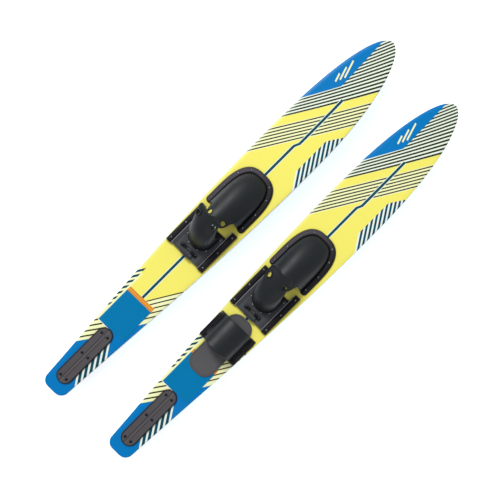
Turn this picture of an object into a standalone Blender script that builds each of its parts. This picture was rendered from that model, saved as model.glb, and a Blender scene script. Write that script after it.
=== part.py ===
"""Water ski pair with adjustable heel bindings. Metres, +Y to the tips, +Z up.

The origin lies midway between the skis, halfway along them, on the ground their fins stand on.
Along a ski, a station is the distance from its tail. Heights in a ski's own frame start at
the level of its base.
"""

import math

import bmesh
import bpy
from mathutils import Matrix, Vector

# Driving dimensions
LENGTH = 1.70
SPACING = 0.31
GAP = 0.0003

# The board, as fractions of its length
TAIL_WIDTH = 0.0555
FULL_WIDTH = 0.1270
WIDEST = 0.70
TAIL_SWELL = 1.15
TIP_POWER = 2.4
TIP_START = 0.72

# The board's thickness and rocker
CORE = 0.020
TAIL_THICKNESS = 0.012
TIP_THICKNESS = 0.009
TAPER_END = 0.390
TAIL_KICK = 0.005
KICK_END = 0.330
TIP_RISE = 0.060
TAIL_CORNER = 0.030
EDGE = 0.004
TUNNEL_DEPTH = 0.003
TUNNEL_START = 0.340
TUNNEL_END = 1.190
TUNNEL_FADE = 0.060

# Toe piece
TOE_REAR = 0.862
TOE_CENTRE = 0.900
TOE_HALF_WIDTH = 0.0765
TOE_REACH = 0.147
TOE_POWER = 3.0
FRAME_WIDTH = 0.019
FRAME_HEIGHT = 0.008
FLANGE = 0.003
RUBBER = 0.004
TOE_HEIGHT = 0.072
TOE_TIP_HEIGHT = 0.030
TOE_DOME_HALF_WIDTH = 0.062
TOE_DOME_FRONT = 1.0335
TAB_ANGLE = 28
TONGUE_ANGLE = 44
TONGUE_REACH = 0.048
FINGER_HOLE = 0.0085

# Rails and heel carriage, heights above the deck
RAIL_START = 0.656
RAIL_END = 0.833
RAIL_INNER = 0.0675
RAIL_LIP = 0.0630
RAIL_OUTER = 0.0865
RAIL_HEIGHT = 0.0105
RAIL_SCREW_STATIONS = (0.672, 0.745, 0.818)
SLIDER_START = 0.660
SLIDER_END = 0.800
SLIDER_HALF_WIDTH = 0.0670
SLIDER_LOW = 0.0006
SLIDER_HIGH = 0.0060
HEEL_REAR = 0.705
HEEL_HALF_WIDTH = 0.0480
HEEL_FRONT = 0.792
HEEL_SIDE_HEIGHT = 0.092
EAR_TURN = 0.30
EAR_HOLE_LEVEL = 0.86
EAR_FLARE = 0.012
HEEL_PLATE_LOW = 0.0096
HEEL_PLATE_HIGH = 0.0126
HEEL_PLATE_HALF_WIDTH = 0.0622

# Lock lever, heights above the deck
PIVOT = 0.684
PIVOT_HEIGHT = 0.0170
PIN_RADIUS = 0.0018
KNUCKLE_RADIUS = 0.0036
LEVER_HALF_WIDTH = 0.0230
COIL_HALF_WIDTH = 0.0065
RACK_HALF_WIDTH = 0.0120
NOTCH_PITCH = 0.010
COIL_RADIUS = 0.0030
COIL_WIRE = 0.0005
COIL_TURNS = 3

# Traction pad, fin and fin plate
TRACTION_START = 0.294
TRACTION_END = 0.433
TRACTION_HALF_WIDTH = 0.057
TRACTION_THICKNESS = 0.0012
FIN_PLATE_START = 0.041
FIN_PLATE_END = 0.292
FIN_PLATE_HALF_WIDTH = 0.030
FIN_PLATE_THICKNESS = 0.0050
FIN_REACH = 0.0563
FIN_SCREW_STATIONS = (0.063, 0.168, 0.265)
FIN_SCREW_OFFSET = 0.0135

# Rear toe piece
PAD_START = 0.393
PAD_END = 0.649
PAD_HALF_WIDTH = 0.051
CLAMP_START = 0.500
CLAMP_END = 0.605
CLAMP_INNER = 0.0565
CLAMP_OUTER = 0.0830
CLAMP_HEIGHT = 0.010
CLAMP_SCREW_STATIONS = (0.512, 0.5525, 0.593)
PAD_THICKNESS = 0.005
STRAP_START = 0.500
STRAP_END = 0.615
STRAP_HEIGHT = 0.060
STRAP_FALL = 0.014
STRAP_SET_BACK = 0.008
STRAP_BOW = 0.013

# Fasteners
SCREW_HEAD = 0.0042
SCREW_SHANK = 0.0021
SCREW_HOLE = 0.0024
HEAD_HEIGHT = 0.0024
STRIP_DEPTH = 0.0050
STRIP_WIDTH = 0.0090
STRIP_SUNK = 0.0010

HANDS = (("left", -1), ("right", 1))


def clear_scene():
    for obj in list(bpy.data.objects):
        bpy.data.objects.remove(obj, do_unlink=True)


def material(name, color, roughness, metallic=0.0):
    found = bpy.data.materials.get(name)
    if found:
        return found
    made = bpy.data.materials.new(name)
    made.use_nodes = True
    shader = made.node_tree.nodes["Principled BSDF"]
    shader.inputs["Base Color"].default_value = (*color, 1.0)
    shader.inputs["Roughness"].default_value = roughness
    shader.inputs["Metallic"].default_value = metallic
    return made


def yellow_board():
    return material("yellow_board", (0.92, 0.86, 0.22), 0.25)


def blue_pad():
    return material("blue_pad", (0.01, 0.19, 0.52), 0.60)


def black_plastic():
    return material("black_plastic", (0.035, 0.035, 0.038), 0.45)


def grey_plastic():
    return material("grey_plastic", (0.095, 0.09, 0.09), 0.50)


def black_rubber():
    return material("black_rubber", (0.020, 0.022, 0.024), 0.55)


def grey_foam():
    return material("grey_foam", (0.085, 0.085, 0.09), 0.80)


def steel():
    return material("steel", (0.60, 0.60, 0.60), 0.25, 1.0)


# The board's shape


def half_width(station):
    t = station / LENGTH
    if t < WIDEST:
        swell = math.sin(math.pi * t / (2 * WIDEST)) ** TAIL_SWELL
        wide = TAIL_WIDTH + (FULL_WIDTH - TAIL_WIDTH) * swell
    else:
        run = (t - WIDEST) / (1 - WIDEST)
        wide = FULL_WIDTH * math.sqrt(max(0.0, 1 - run**TIP_POWER))
    half = wide * LENGTH / 2
    if station < TAIL_CORNER:
        back = TAIL_CORNER - station
        half -= TAIL_CORNER - math.sqrt(TAIL_CORNER**2 - back**2)
    return half


def base_height(station):
    if station < KICK_END:
        return TAIL_KICK * (KICK_END - station) / KICK_END
    run = max(0.0, station / LENGTH - TIP_START) / (1 - TIP_START)
    return TIP_RISE * run**2.2


def thickness(station):
    if station < TAPER_END:
        return TAIL_THICKNESS + (CORE - TAIL_THICKNESS) * station / TAPER_END
    run = max(0.0, station / LENGTH - TIP_START) / (1 - TIP_START)
    return CORE + (TIP_THICKNESS - CORE) * run


def deck_height(station):
    return base_height(station) + thickness(station)


def tunnel(station):
    rise = min(1.0, max(0.0, (station - TUNNEL_START) / TUNNEL_FADE))
    fall = min(1.0, max(0.0, (TUNNEL_END - station) / TUNNEL_FADE))
    share = min(rise, fall)
    return TUNNEL_DEPTH * share * share * (3 - 2 * share)


def place(x, station, z):
    return Vector((x, station - LENGTH / 2, z))


# Making objects


class Side:
    """One ski: its name, its parent empty and its collections of parts and cutters.

    The soft heel hood stands a little differently on each ski: lift is its height, reach is
    how far its collar leans forward, and sway is how far it leans to the left.
    """

    def __init__(self, name, x, lift, reach, sway, parts, cutters):
        self.name = name
        self.lift = lift
        self.reach = reach
        self.sway = sway
        self.parts = parts
        self.cutters = cutters
        self.empty = bpy.data.objects.new(name + "_ski_centre", None)
        self.empty.location = (x, 0, FIN_REACH)
        parts.objects.link(self.empty)

    def add(self, name, mesh, location=(0, 0, 0), rotation=(0, 0, 0)):
        obj = bpy.data.objects.new(f"{self.name}_{name}", mesh)
        obj.parent = self.empty
        obj.location = location
        obj.rotation_euler = rotation
        self.parts.objects.link(obj)
        return obj

    def as_cutter(self, obj):
        self.parts.objects.unlink(obj)
        self.cutters.objects.link(obj)
        obj.hide_render = True
        obj.display_type = "WIRE"
        return obj


def finish(obj, surface, smooth=True):
    obj.data.materials.clear()
    obj.data.materials.append(surface)
    if smooth:
        obj.data.shade_smooth()
        obj.data.set_sharp_from_angle(angle=math.radians(35))
    return obj


def boolean(obj, other, operation="DIFFERENCE"):
    modifier = obj.modifiers.new(f"{operation.lower()}_{other.name}", "BOOLEAN")
    modifier.operation = operation
    modifier.solver = "EXACT"
    modifier.object = other


def bevel(obj, width):
    modifier = obj.modifiers.new("edges", "BEVEL")
    modifier.width = width
    modifier.segments = 1
    modifier.limit_method = "ANGLE"
    modifier.angle_limit = math.radians(50)


def mesh_from(name, bm):
    bmesh.ops.recalc_face_normals(bm, faces=bm.faces[:])
    mesh = bpy.data.meshes.new(name)
    bm.to_mesh(mesh)
    bm.free()
    return mesh


def plate_mesh(name, outline, depth):
    """A flat plate: a closed outline filled on both sides, from z = 0 up to its depth."""
    curve = bpy.data.curves.new(name, "CURVE")
    curve.dimensions = "2D"
    curve.fill_mode = "BOTH"
    curve.extrude = depth / 2
    spline = curve.splines.new("POLY")
    spline.points.add(len(outline) - 1)
    for point, (x, y) in zip(spline.points, outline):
        point.co = (x, y, 0, 1)
    spline.use_cyclic_u = True
    holder = bpy.data.objects.new(name + "_outline", curve)
    bpy.context.scene.collection.objects.link(holder)
    shape = holder.evaluated_get(bpy.context.evaluated_depsgraph_get())
    mesh = bpy.data.meshes.new_from_object(shape)
    bpy.data.objects.remove(holder, do_unlink=True)
    bm = bmesh.new()
    bm.from_mesh(mesh)
    bmesh.ops.remove_doubles(bm, verts=bm.verts[:], dist=1e-5)
    bmesh.ops.translate(bm, verts=bm.verts[:], vec=(0, 0, depth / 2))
    return mesh_from(name, bm)


def loft_mesh(name, rings):
    """A solid through closed rings of equal point counts, with a flat cap at each end."""
    bm = bmesh.new()
    rows = [[bm.verts.new(point) for point in ring] for ring in rings]
    count = len(rings[0])
    for row, following in zip(rows, rows[1:]):
        for i in range(count):
            j = (i + 1) % count
            bm.faces.new((row[i], row[j], following[j], following[i]))
    bm.faces.new(rows[0])
    bm.faces.new(rows[-1])
    return mesh_from(name, bm)


def sheet_mesh(name, rows):
    """An open sheet through rows of equal point counts."""
    bm = bmesh.new()
    grid = [[bm.verts.new(point) for point in row] for row in rows]
    for row, following in zip(grid, grid[1:]):
        for i in range(len(row) - 1):
            bm.faces.new((row[i], row[i + 1], following[i + 1], following[i]))
    bmesh.ops.remove_doubles(bm, verts=bm.verts[:], dist=1e-5)
    return mesh_from(name, bm)


def turned_mesh(name, profile, centres, segments=6):
    """Equal turned bodies on vertical axes, from (radius, height) points that end on the axis."""
    bm = bmesh.new()
    for centre in centres:
        points = [bm.verts.new(centre + Vector((radius, 0, z))) for radius, z in profile]
        edges = [bm.edges.new(pair) for pair in zip(points, points[1:])]
        bmesh.ops.spin(
            bm, geom=points + edges, cent=centre, axis=(0, 0, 1),
            angle=2 * math.pi, steps=segments, use_merge=True,
        )
    bmesh.ops.remove_doubles(bm, verts=bm.verts[:], dist=1e-6)
    return mesh_from(name, bm)


def box_mesh(name, low, high):
    bm = bmesh.new()
    size = high - low
    matrix = Matrix.Translation((low + high) / 2) @ Matrix.Diagonal((*size, 1))
    bmesh.ops.create_cube(bm, size=1, matrix=matrix)
    return mesh_from(name, bm)


def rod_mesh(name, centre, radius, half_length, segments=8):
    """A cylinder along X."""
    bm = bmesh.new()
    matrix = Matrix.Translation(centre) @ Matrix.Rotation(math.pi / 2, 4, "Y")
    bmesh.ops.create_cone(
        bm, cap_ends=True, segments=segments, radius1=radius, radius2=radius,
        depth=2 * half_length, matrix=matrix,
    )
    return mesh_from(name, bm)


# Outlines seen from above, as (x, y)


def rectangle(x_low, x_high, start, end):
    low = start - LENGTH / 2
    high = end - LENGTH / 2
    return [(x_low, low), (x_high, low), (x_high, high), (x_low, high)]


def rounded(x_low, x_high, start, end, radius, steps=5):
    points = []
    corners = (
        (x_high - radius, start + radius, -90),
        (x_high - radius, end - radius, 0),
        (x_low + radius, end - radius, 90),
        (x_low + radius, start + radius, 180),
    )
    for x, station, first in corners:
        for step in range(steps + 1):
            angle = math.radians(first + 90 * step / steps)
            y = station - LENGTH / 2 + radius * math.sin(angle)
            points.append((x + radius * math.cos(angle), y))
    return points


def horseshoe_point(turn):
    """A point on the toe frame's centre line: turn runs from -1 to 1, left end to right end."""
    arc_share = 0.86
    if abs(turn) > arc_share:
        share = (abs(turn) - arc_share) / (1 - arc_share)
        x = math.copysign(TOE_HALF_WIDTH, turn)
        return Vector((x, TOE_CENTRE + (TOE_REAR - TOE_CENTRE) * share))
    angle = turn / arc_share * math.pi / 2
    power = 2 / TOE_POWER
    x = math.copysign(TOE_HALF_WIDTH * abs(math.sin(angle)) ** power, turn)
    return Vector((x, TOE_CENTRE + TOE_REACH * math.cos(angle) ** power))


def horseshoe_band(width, inwards=0.0, steps=18):
    """The outline of a band along the toe frame's centre line, with round ends.

    The band's own centre line lies inwards of the frame's by the given distance.
    """
    outer = []
    inner = []
    for step in range(steps + 1):
        turn = -1 + 2 * step / steps
        point = horseshoe_point(turn)
        ahead = horseshoe_point(min(1, turn + 0.01)) - horseshoe_point(max(-1, turn - 0.01))
        across = Vector((-ahead.y, ahead.x)).normalized()
        outer.append(point + across * (width / 2 - inwards))
        inner.append(point - across * (width / 2 + inwards))
    right_end = round_end(outer[-1], inner[-1])
    left_end = round_end(inner[0], outer[0])
    path = outer + right_end + inner[::-1] + left_end
    return [(point.x, point.y - LENGTH / 2) for point in path]


def round_end(start, end, steps=4):
    """Points of a half circle behind two end points of a band, between them."""
    centre = (start + end) / 2
    arm = start - centre
    back = Vector((0, -arm.length))
    angles = [math.pi * step / steps for step in range(1, steps)]
    return [centre + arm * math.cos(angle) + back * math.sin(angle) for angle in angles]


def heel_outline(half, rear, front, steps=8):
    """A U open to the front: left end, round the rear, right end."""
    points = [(-half, front - LENGTH / 2)]
    for step in range(steps + 1):
        angle = math.pi + math.pi * step / steps
        y = rear + half - LENGTH / 2 + half * math.sin(angle)
        points.append((half * math.cos(angle), y))
    points.append((half, front - LENGTH / 2))
    return points


# Fasteners: a row of screws and the threaded strip let into the board, as one body


def screw_profile(foot, seat, head=SCREW_HEAD, shank=SCREW_SHANK):
    top = seat + HEAD_HEIGHT
    return [
        (0, top), (head * 0.8, top), (head, seat), (shank, seat), (shank, foot), (0, foot),
    ]


def hole_cutter(side, name, centres, radius, low, high):
    profile = [(0, high), (radius, high), (radius, low), (0, low)]
    return side.as_cutter(side.add(name, turned_mesh(name, profile, centres)))


def screw_row(side, name, spots, outline, seat, board):
    """Screws through a piece whose top is at seat, into a strip in the board.

    Returns the screws' centres on the deck.
    """
    centres = [place(x, station, CORE) for x, station in spots]
    strip = plate_mesh(name, outline(STRIP_WIDTH), STRIP_DEPTH - STRIP_SUNK)
    row = side.add(name, strip, (0, 0, CORE - STRIP_DEPTH))
    foot = -STRIP_SUNK - STRIP_DEPTH / 2
    screws = turned_mesh(name, screw_profile(foot, seat + GAP), centres)
    boolean(row, side.as_cutter(side.add(name + "_bodies", screws)), "UNION")
    channel = plate_mesh(name, outline(STRIP_WIDTH + 2 * GAP), STRIP_DEPTH + 2 * GAP)
    groove = side.add(name + "_groove", channel, (0, 0, CORE - STRIP_DEPTH - GAP))
    boolean(board, side.as_cutter(groove))
    finish(row, steel())
    return centres


def straight_strip(middle, stations, beyond):
    """The outline of a straight strip of any width, under screws at the given stations."""
    def outline(width):
        spare = (width - STRIP_WIDTH) / 2
        start = stations[0] - beyond - spare
        end = stations[-1] + beyond + spare
        return rectangle(middle - width / 2, middle + width / 2, start, end)

    return outline


# The board, the pad, the fin and its plate


def board_ring(station):
    half = half_width(station)
    low = base_height(station)
    high = deck_height(station)
    edge = min(EDGE, 0.35 * half, 0.4 * (high - low))
    hollow = tunnel(station)
    right = [
        (0.35 * half, low + hollow), (0.60 * half, low), (half - edge, low),
        (half, low + edge), (half, high - edge), (half - edge, high),
    ]
    left = [(-x, z) for x, z in reversed(right)]
    return [place(x, station, z) for x, z in right + left]


def board_stations():
    corner = [TAIL_CORNER * (1 - math.cos(math.radians(a))) for a in (0, 25, 50, 70, 90)]
    body = [0.080, 0.160, 0.240, KICK_END, TUNNEL_START, 0.370, TAPER_END, 0.450, 0.530]
    body += [0.620, 0.710, 0.800, 0.890, 0.980, 1.070, 1.130, 1.160, TUNNEL_END]
    reach = LENGTH * (1 - TIP_START)
    turns = [6, 16, 26, 36, 46, 54, 61, 67, 72, 76, 80, 83.5, 86.5, 88.8]
    tip = [LENGTH * TIP_START + reach * math.sin(math.radians(a)) for a in turns]
    return corner + body + tip


def make_board(side):
    rings = [board_ring(station) for station in board_stations()]
    board = side.add("ski", loft_mesh("ski", rings))
    return finish(board, yellow_board())


def make_traction_pad(side):
    half = TRACTION_HALF_WIDTH
    rings = []
    for station in (TRACTION_START, KICK_END, TAPER_END, TRACTION_END):
        low = deck_height(station) + GAP
        high = low + TRACTION_THICKNESS
        corners = ((-half, low), (half, low), (half, high), (-half, high))
        rings.append([place(x, station, z) for x, z in corners])
    pad = side.add("traction_pad", loft_mesh("traction_pad", rings))
    finish(pad, blue_pad(), smooth=False)


def fin_screw_spots():
    offsets = (-FIN_SCREW_OFFSET, FIN_SCREW_OFFSET)
    return [(x, station) for station in FIN_SCREW_STATIONS for x in offsets]


def make_fin_plate(side):
    middle = (FIN_PLATE_START + FIN_PLATE_END) / 2
    slope = (deck_height(middle + 0.1) - deck_height(middle - 0.1)) / 0.2
    half = FIN_PLATE_HALF_WIDTH
    reach = (FIN_PLATE_END - FIN_PLATE_START) / 2
    outline = rounded(-half, half, LENGTH / 2 - reach, LENGTH / 2 + reach, 0.028, 4)
    spot = place(0, middle, deck_height(middle) + GAP)
    mesh = plate_mesh("fin_top_plate", outline, FIN_PLATE_THICKNESS)
    plate = side.add("fin_top_plate", mesh, spot, (math.atan(slope), 0, 0))
    centres = [place(x, station, 0) for x, station in fin_screw_spots()]
    holes = hole_cutter(side, "fin_screw_holes", centres, SCREW_HOLE, -0.02, 0.05)
    boolean(plate, holes)
    finish(plate, grey_plastic())
    return holes


def make_fin(side, holes):
    flange_start, flange_end, flange_half, flange_thick = 0.052, 0.278, 0.023, 0.004
    middle = (flange_start + flange_end) / 2
    slope = math.atan(-TAIL_KICK / KICK_END)
    reach = (flange_end - flange_start) / 2
    outline = rounded(-flange_half, flange_half, LENGTH / 2 - reach, LENGTH / 2 + reach, 0.020, 4)
    top = base_height(middle) - GAP
    spot = place(0, middle, top - flange_thick)
    fin = side.add("fin", plate_mesh("fin", outline, flange_thick), spot, (slope, 0, 0))
    # The blade's side outline: x forward along the ski, y down from the flange.
    profile = [(0.095, 0.002), (-0.098, 0.002)]
    for step in range(5):
        angle = math.radians(90 * step / 4)
        profile.append((-0.086 - 0.012 * math.cos(angle), -0.043 - 0.012 * math.sin(angle)))
    for step in range(5):
        share = step / 4
        bend = 0.052 * share
        profile.append((-0.030 + 0.115 * share**0.8, -0.055 + bend * share**0.7))
    blade_half = 0.0028
    blade = plate_mesh("fin_blade", profile, 2 * blade_half)
    blade.transform(Matrix.Translation((-blade_half, 0, 0)) @ upright())
    blade_cutter = side.as_cutter(side.add("fin_blade", blade, spot, (slope, 0, 0)))
    boolean(fin, blade_cutter, "UNION")
    boolean(fin, holes)
    finish(fin, black_plastic())


def upright():
    """Turns a flat plate so its x runs along Y, its y along Z and its thickness along X."""
    return Matrix(((0, 0, 1, 0), (1, 0, 0, 0), (0, 1, 0, 0), (0, 0, 0, 1)))


def make_fin_screws(side):
    for number, (x, station) in enumerate(fin_screw_spots(), 1):
        seat = deck_height(station) + FIN_PLATE_THICKNESS + 3 * GAP
        foot = base_height(station) - 0.003
        name = f"fin_screw_{number}"
        profile = screw_profile(foot - seat, 0)
        mesh = turned_mesh(name, profile, [Vector((0, 0, 0))])
        screw = side.add(name, mesh, place(x, station, seat))
        finish(screw, steel())


# Toe piece


def toe_frame_spots():
    turns = (-0.97, -0.80, -0.55, -0.24, 0.24, 0.55, 0.80, 0.97)
    points = [horseshoe_point(turn) for turn in turns]
    return [(point.x, point.y) for point in points]


def make_toe_frame(side, board):
    low = CORE + 2 * GAP + FLANGE
    mesh = plate_mesh("toe_frame", horseshoe_band(FRAME_WIDTH), FRAME_HEIGHT - FLANGE)
    frame = side.add("toe_frame", mesh, (0, 0, low + GAP))
    seat = FRAME_HEIGHT + 3 * GAP
    spots = toe_frame_spots()
    centres = screw_row(side, "toe_frame_screws", spots, horseshoe_band, seat, board)
    holes = hole_cutter(side, "toe_frame_holes", centres, SCREW_HOLE, -0.01, 0.03)
    boolean(frame, holes)
    finish(frame, black_plastic())
    return holes


def toe_arch(station, angle):
    """A point of the toe dome: angle runs from -90 to 90 degrees, left foot to right foot."""
    run = max(0.0, (station - TOE_CENTRE) / (TOE_DOME_FRONT - TOE_CENTRE))
    wide = TOE_DOME_HALF_WIDTH * max(0.0, 1 - run**TOE_POWER) ** (1 / TOE_POWER)
    along = min(1.0, max(0.0, (station - 0.835) / (TOE_DOME_FRONT - 0.835)))
    crown = TOE_HEIGHT + (TOE_TIP_HEIGHT - TOE_HEIGHT) * along**1.1
    high = crown * max(0.0, 1 - run**3.2) ** 0.45
    z = 0.7 * FLANGE + high * max(0.0, math.cos(angle)) ** 0.95
    return place(wide * math.sin(angle), station, CORE + GAP + z)


def toe_rear_edge(angle):
    """The station of the toe dome's rear edge: a tongue with a shallow dip between its tabs."""
    degrees = abs(math.degrees(angle))
    tongue = math.exp(-(degrees / TONGUE_ANGLE) ** 8)
    return 0.853 - TONGUE_REACH * tongue + 0.012 * math.exp(-(degrees / 12) ** 2)


def make_toe_boot(side, holes):
    angles = [math.radians(-90 + 9 * column) for column in range(21)]
    rows = []
    for share in (0, 0.12, 0.32, 0.54, 0.72, 0.86, 0.95, 1.0):
        row = []
        for angle in angles:
            rear = toe_rear_edge(angle)
            row.append(toe_arch(rear + (TOE_DOME_FRONT - rear) * share, angle))
        rows.append(row)
    dome = side.add("toe_dome", sheet_mesh("toe_dome", rows))
    shell = dome.modifiers.new("rubber", "SOLIDIFY")
    shell.thickness = RUBBER
    shell.offset = -1
    shell.use_even_offset = True
    side.as_cutter(dome)
    outline = horseshoe_band(FRAME_WIDTH + 0.011, inwards=0.0025)
    boot = side.add("toe_boot", plate_mesh("toe_boot", outline, FLANGE), (0, 0, CORE + GAP))
    boolean(boot, dome, "UNION")
    boolean(boot, holes)
    for hand, sign in HANDS:
        angle = math.radians(TAB_ANGLE) * sign
        centre = toe_arch(toe_rear_edge(angle) + 0.020, angle)
        boolean(boot, finger_hole(side, f"toe_hole_{hand}", centre, sign, TAB_ANGLE))
    finish(boot, black_rubber())


def finger_hole(side, name, centre, sign, lean):
    """A cutter for a finger hole, leaning outwards from the vertical."""
    bm = bmesh.new()
    turn = Matrix.Rotation(math.radians(lean) * sign, 4, "Y")
    bmesh.ops.create_cone(
        bm, cap_ends=True, segments=8, radius1=FINGER_HOLE, radius2=FINGER_HOLE, depth=0.03,
        matrix=Matrix.Translation(centre) @ turn,
    )
    return side.as_cutter(side.add(name, mesh_from(name, bm)))


# Heel carriage


def make_rail(side, board, hand, sign):
    name = f"{hand}_rail"
    edges = sorted((sign * RAIL_INNER, sign * RAIL_OUTER))
    body = plate_mesh(name, rounded(*edges, RAIL_START, RAIL_END, 0.005, 3), RAIL_HEIGHT)
    rail = side.add(name, body, (0, 0, CORE + GAP))
    lip_edges = sorted((sign * RAIL_LIP, sign * (RAIL_INNER + 0.002)))
    lip_low = SLIDER_HIGH + GAP
    lip_outline = rectangle(*lip_edges, RAIL_START + 0.006, RAIL_END - 0.006)
    lip_mesh = plate_mesh(name + "_lip", lip_outline, RAIL_HEIGHT - lip_low)
    lip = side.add(name + "_lip", lip_mesh, (0, 0, CORE + GAP + lip_low))
    boolean(rail, side.as_cutter(lip), "UNION")
    middle = sign * (RAIL_INNER + RAIL_OUTER) / 2
    spots = [(middle, station) for station in RAIL_SCREW_STATIONS]
    strip = straight_strip(middle, RAIL_SCREW_STATIONS, 0.008)
    centres = screw_row(side, name + "_screws", spots, strip, RAIL_HEIGHT + GAP, board)
    boolean(rail, hole_cutter(side, name + "_holes", centres, SCREW_HOLE, -0.01, 0.03))
    finish(rail, black_plastic())


def make_rack(side, board):
    start, end, thick = 0.664, 0.744, 0.003
    half = RACK_HALF_WIDTH
    mesh = plate_mesh("lock_rack", rectangle(-half, half, start, end), thick)
    rack = side.add("lock_rack", mesh, (0, 0, CORE - thick))
    bm = bmesh.new()
    station = start + 0.012
    while station < end - 0.006:
        notch = Matrix.Diagonal((0.014, NOTCH_PITCH / 2, 0.02, 1))
        matrix = Matrix.Translation(place(0, station, CORE)) @ notch
        bmesh.ops.create_cube(bm, size=1, matrix=matrix)
        station += NOTCH_PITCH
    boolean(rack, side.as_cutter(side.add("rack_notches", mesh_from("rack_notches", bm))))
    bed_outline = rectangle(-half - GAP, half + GAP, start - GAP, end + GAP)
    bed = side.add("rack_bed", plate_mesh("rack_bed", bed_outline, 0.01))
    bed.location.z = CORE - thick - GAP
    boolean(board, side.as_cutter(bed))
    finish(rack, steel(), smooth=False)


def lever_window(side):
    low = place(-0.010, PIVOT - 0.0165, CORE - 0.001)
    high = place(0.010, PIVOT - 0.0035, CORE + 0.014)
    return side.as_cutter(side.add("lever_window", box_mesh("lever_window", low, high)))


def heel_rivet_spots():
    back = HEEL_REAR + HEEL_HALF_WIDTH
    spread = HEEL_HALF_WIDTH + 0.006
    spots = []
    for degrees in (-55, -22, 22, 55):
        angle = math.radians(degrees)
        spots.append((spread * math.sin(angle), back - spread * math.cos(angle)))
    return spots + [(-spread, 0.782), (spread, 0.782)]


def make_slider(side, window):
    outline = rounded(-SLIDER_HALF_WIDTH, SLIDER_HALF_WIDTH, SLIDER_START, SLIDER_END, 0.004, 2)
    mesh = plate_mesh("heel_slider", outline, SLIDER_HIGH - SLIDER_LOW)
    slider = side.add("heel_slider", mesh, (0, 0, CORE + SLIDER_LOW))
    boolean(slider, window)
    return finish(slider, black_plastic(), smooth=False)


def collar_level(turn):
    """How high the hood reaches at a turn, as a share of its height: two ears, lower sides."""
    turn = abs(turn)
    if turn < EAR_TURN:
        return 1 - 0.045 * math.cos(math.pi / 2 * turn / EAR_TURN) ** 2
    fall = min(1.0, (turn - EAR_TURN) / 0.42)
    return 1 - 0.19 * (1 - math.cos(math.pi * fall))


def heel_wall(side, level, turn):
    """A point of the heel hood, as (x, station, height above its foot).

    Level runs from 0 at the foot to 1 at the collar, and turn from -1 to 1, round the heel
    from the left side's front edge to the right side's.
    """
    level *= collar_level(turn)
    back = HEEL_REAR + side.reach * level**2.2 - 0.004 * math.sin(math.pi * level)
    back_height = side.lift * math.sin(0.465 * math.pi * level) / math.sin(0.465 * math.pi)
    front = HEEL_FRONT + 0.034 * level**3 - 0.026 * math.sin(math.pi * level)
    half = HEEL_HALF_WIDTH - 0.002 * level**2
    depth = 0.52 + 0.38 * level
    if abs(turn) > 0.62:
        x = math.copysign(half, turn)
        share = depth + (1 - depth) * (abs(turn) - 0.62) / 0.38
    else:
        angle = turn / 0.62 * math.pi / 2
        x = half * math.sin(angle)
        share = depth * (1 - math.cos(angle))
    station = back + (front - back) * share
    height = back_height + (HEEL_SIDE_HEIGHT * level - back_height) * share
    flare = EAR_FLARE * level**4 * math.exp(-((abs(turn) - 0.42) / 0.16) ** 2)
    return Vector((x + math.copysign(flare, turn) - side.sway * level**2, station, height))


def make_heel_boot(side, rivet_holes):
    foot = CORE + SLIDER_HIGH + GAP
    turns = [-1 + 2 * column / 16 for column in range(17)]
    rows = []
    for level in (0, 0.22, 0.44, 0.64, 0.80, 0.92, 1.0):
        row = []
        for turn in turns:
            point = heel_wall(side, level, turn)
            row.append(place(point.x, point.y, foot + FLANGE / 2 + point.z))
        rows.append(row)
    hood = side.add("heel_hood", sheet_mesh("heel_hood", rows))
    shell = hood.modifiers.new("rubber", "SOLIDIFY")
    shell.thickness = RUBBER
    shell.offset = -1
    shell.use_even_offset = True
    side.as_cutter(hood)
    wide = heel_outline(HEEL_HALF_WIDTH + 0.011, HEEL_REAR - 0.011, HEEL_FRONT - 0.002)
    narrow = heel_outline(HEEL_HALF_WIDTH - 0.006, HEEL_REAR + 0.006, HEEL_FRONT - 0.002)
    boot = side.add("heel_boot", plate_mesh("heel_boot", wide + narrow[::-1], FLANGE), (0, 0, foot))
    boolean(boot, hood, "UNION")
    boolean(boot, rivet_holes)
    for hand, sign in HANDS:
        point = heel_wall(side, EAR_HOLE_LEVEL, EAR_TURN * sign)
        centre = place(point.x, point.y, foot + point.z)
        boolean(boot, finger_hole(side, f"heel_hole_{hand}", centre, sign, 40))
    finish(boot, black_rubber())


def make_heel_plate(side, window, rivet_holes, pin_hole):
    half = HEEL_PLATE_HALF_WIDTH
    opening = heel_outline(HEEL_HALF_WIDTH + 0.001, HEEL_REAR - 0.005, HEEL_FRONT)
    back = SLIDER_START - LENGTH / 2
    front = HEEL_FRONT - LENGTH / 2
    outline = [(-half, back), (half, back), (half, front)] + opening[::-1] + [(-half, front)]
    thick = HEEL_PLATE_HIGH - HEEL_PLATE_LOW
    plate = side.add("heel_top_plate", plate_mesh("heel_top_plate", outline, thick),
                     (0, 0, CORE + HEEL_PLATE_LOW))
    for hand, sign in HANDS:
        edges = sorted((sign * (LEVER_HALF_WIDTH + 0.001), sign * (LEVER_HALF_WIDTH + 0.007)))
        low = place(edges[0], PIVOT - 0.0055, CORE + HEEL_PLATE_LOW + 0.001)
        high = place(edges[1], PIVOT + 0.0055, CORE + PIVOT_HEIGHT + 0.0045)
        name = f"lever_lug_{hand}"
        lug = side.as_cutter(side.add(name, box_mesh(name, low, high)))
        boolean(plate, lug, "UNION")
    boolean(plate, window)
    boolean(plate, rivet_holes)
    boolean(plate, pin_hole)
    finish(plate, grey_plastic())


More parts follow.
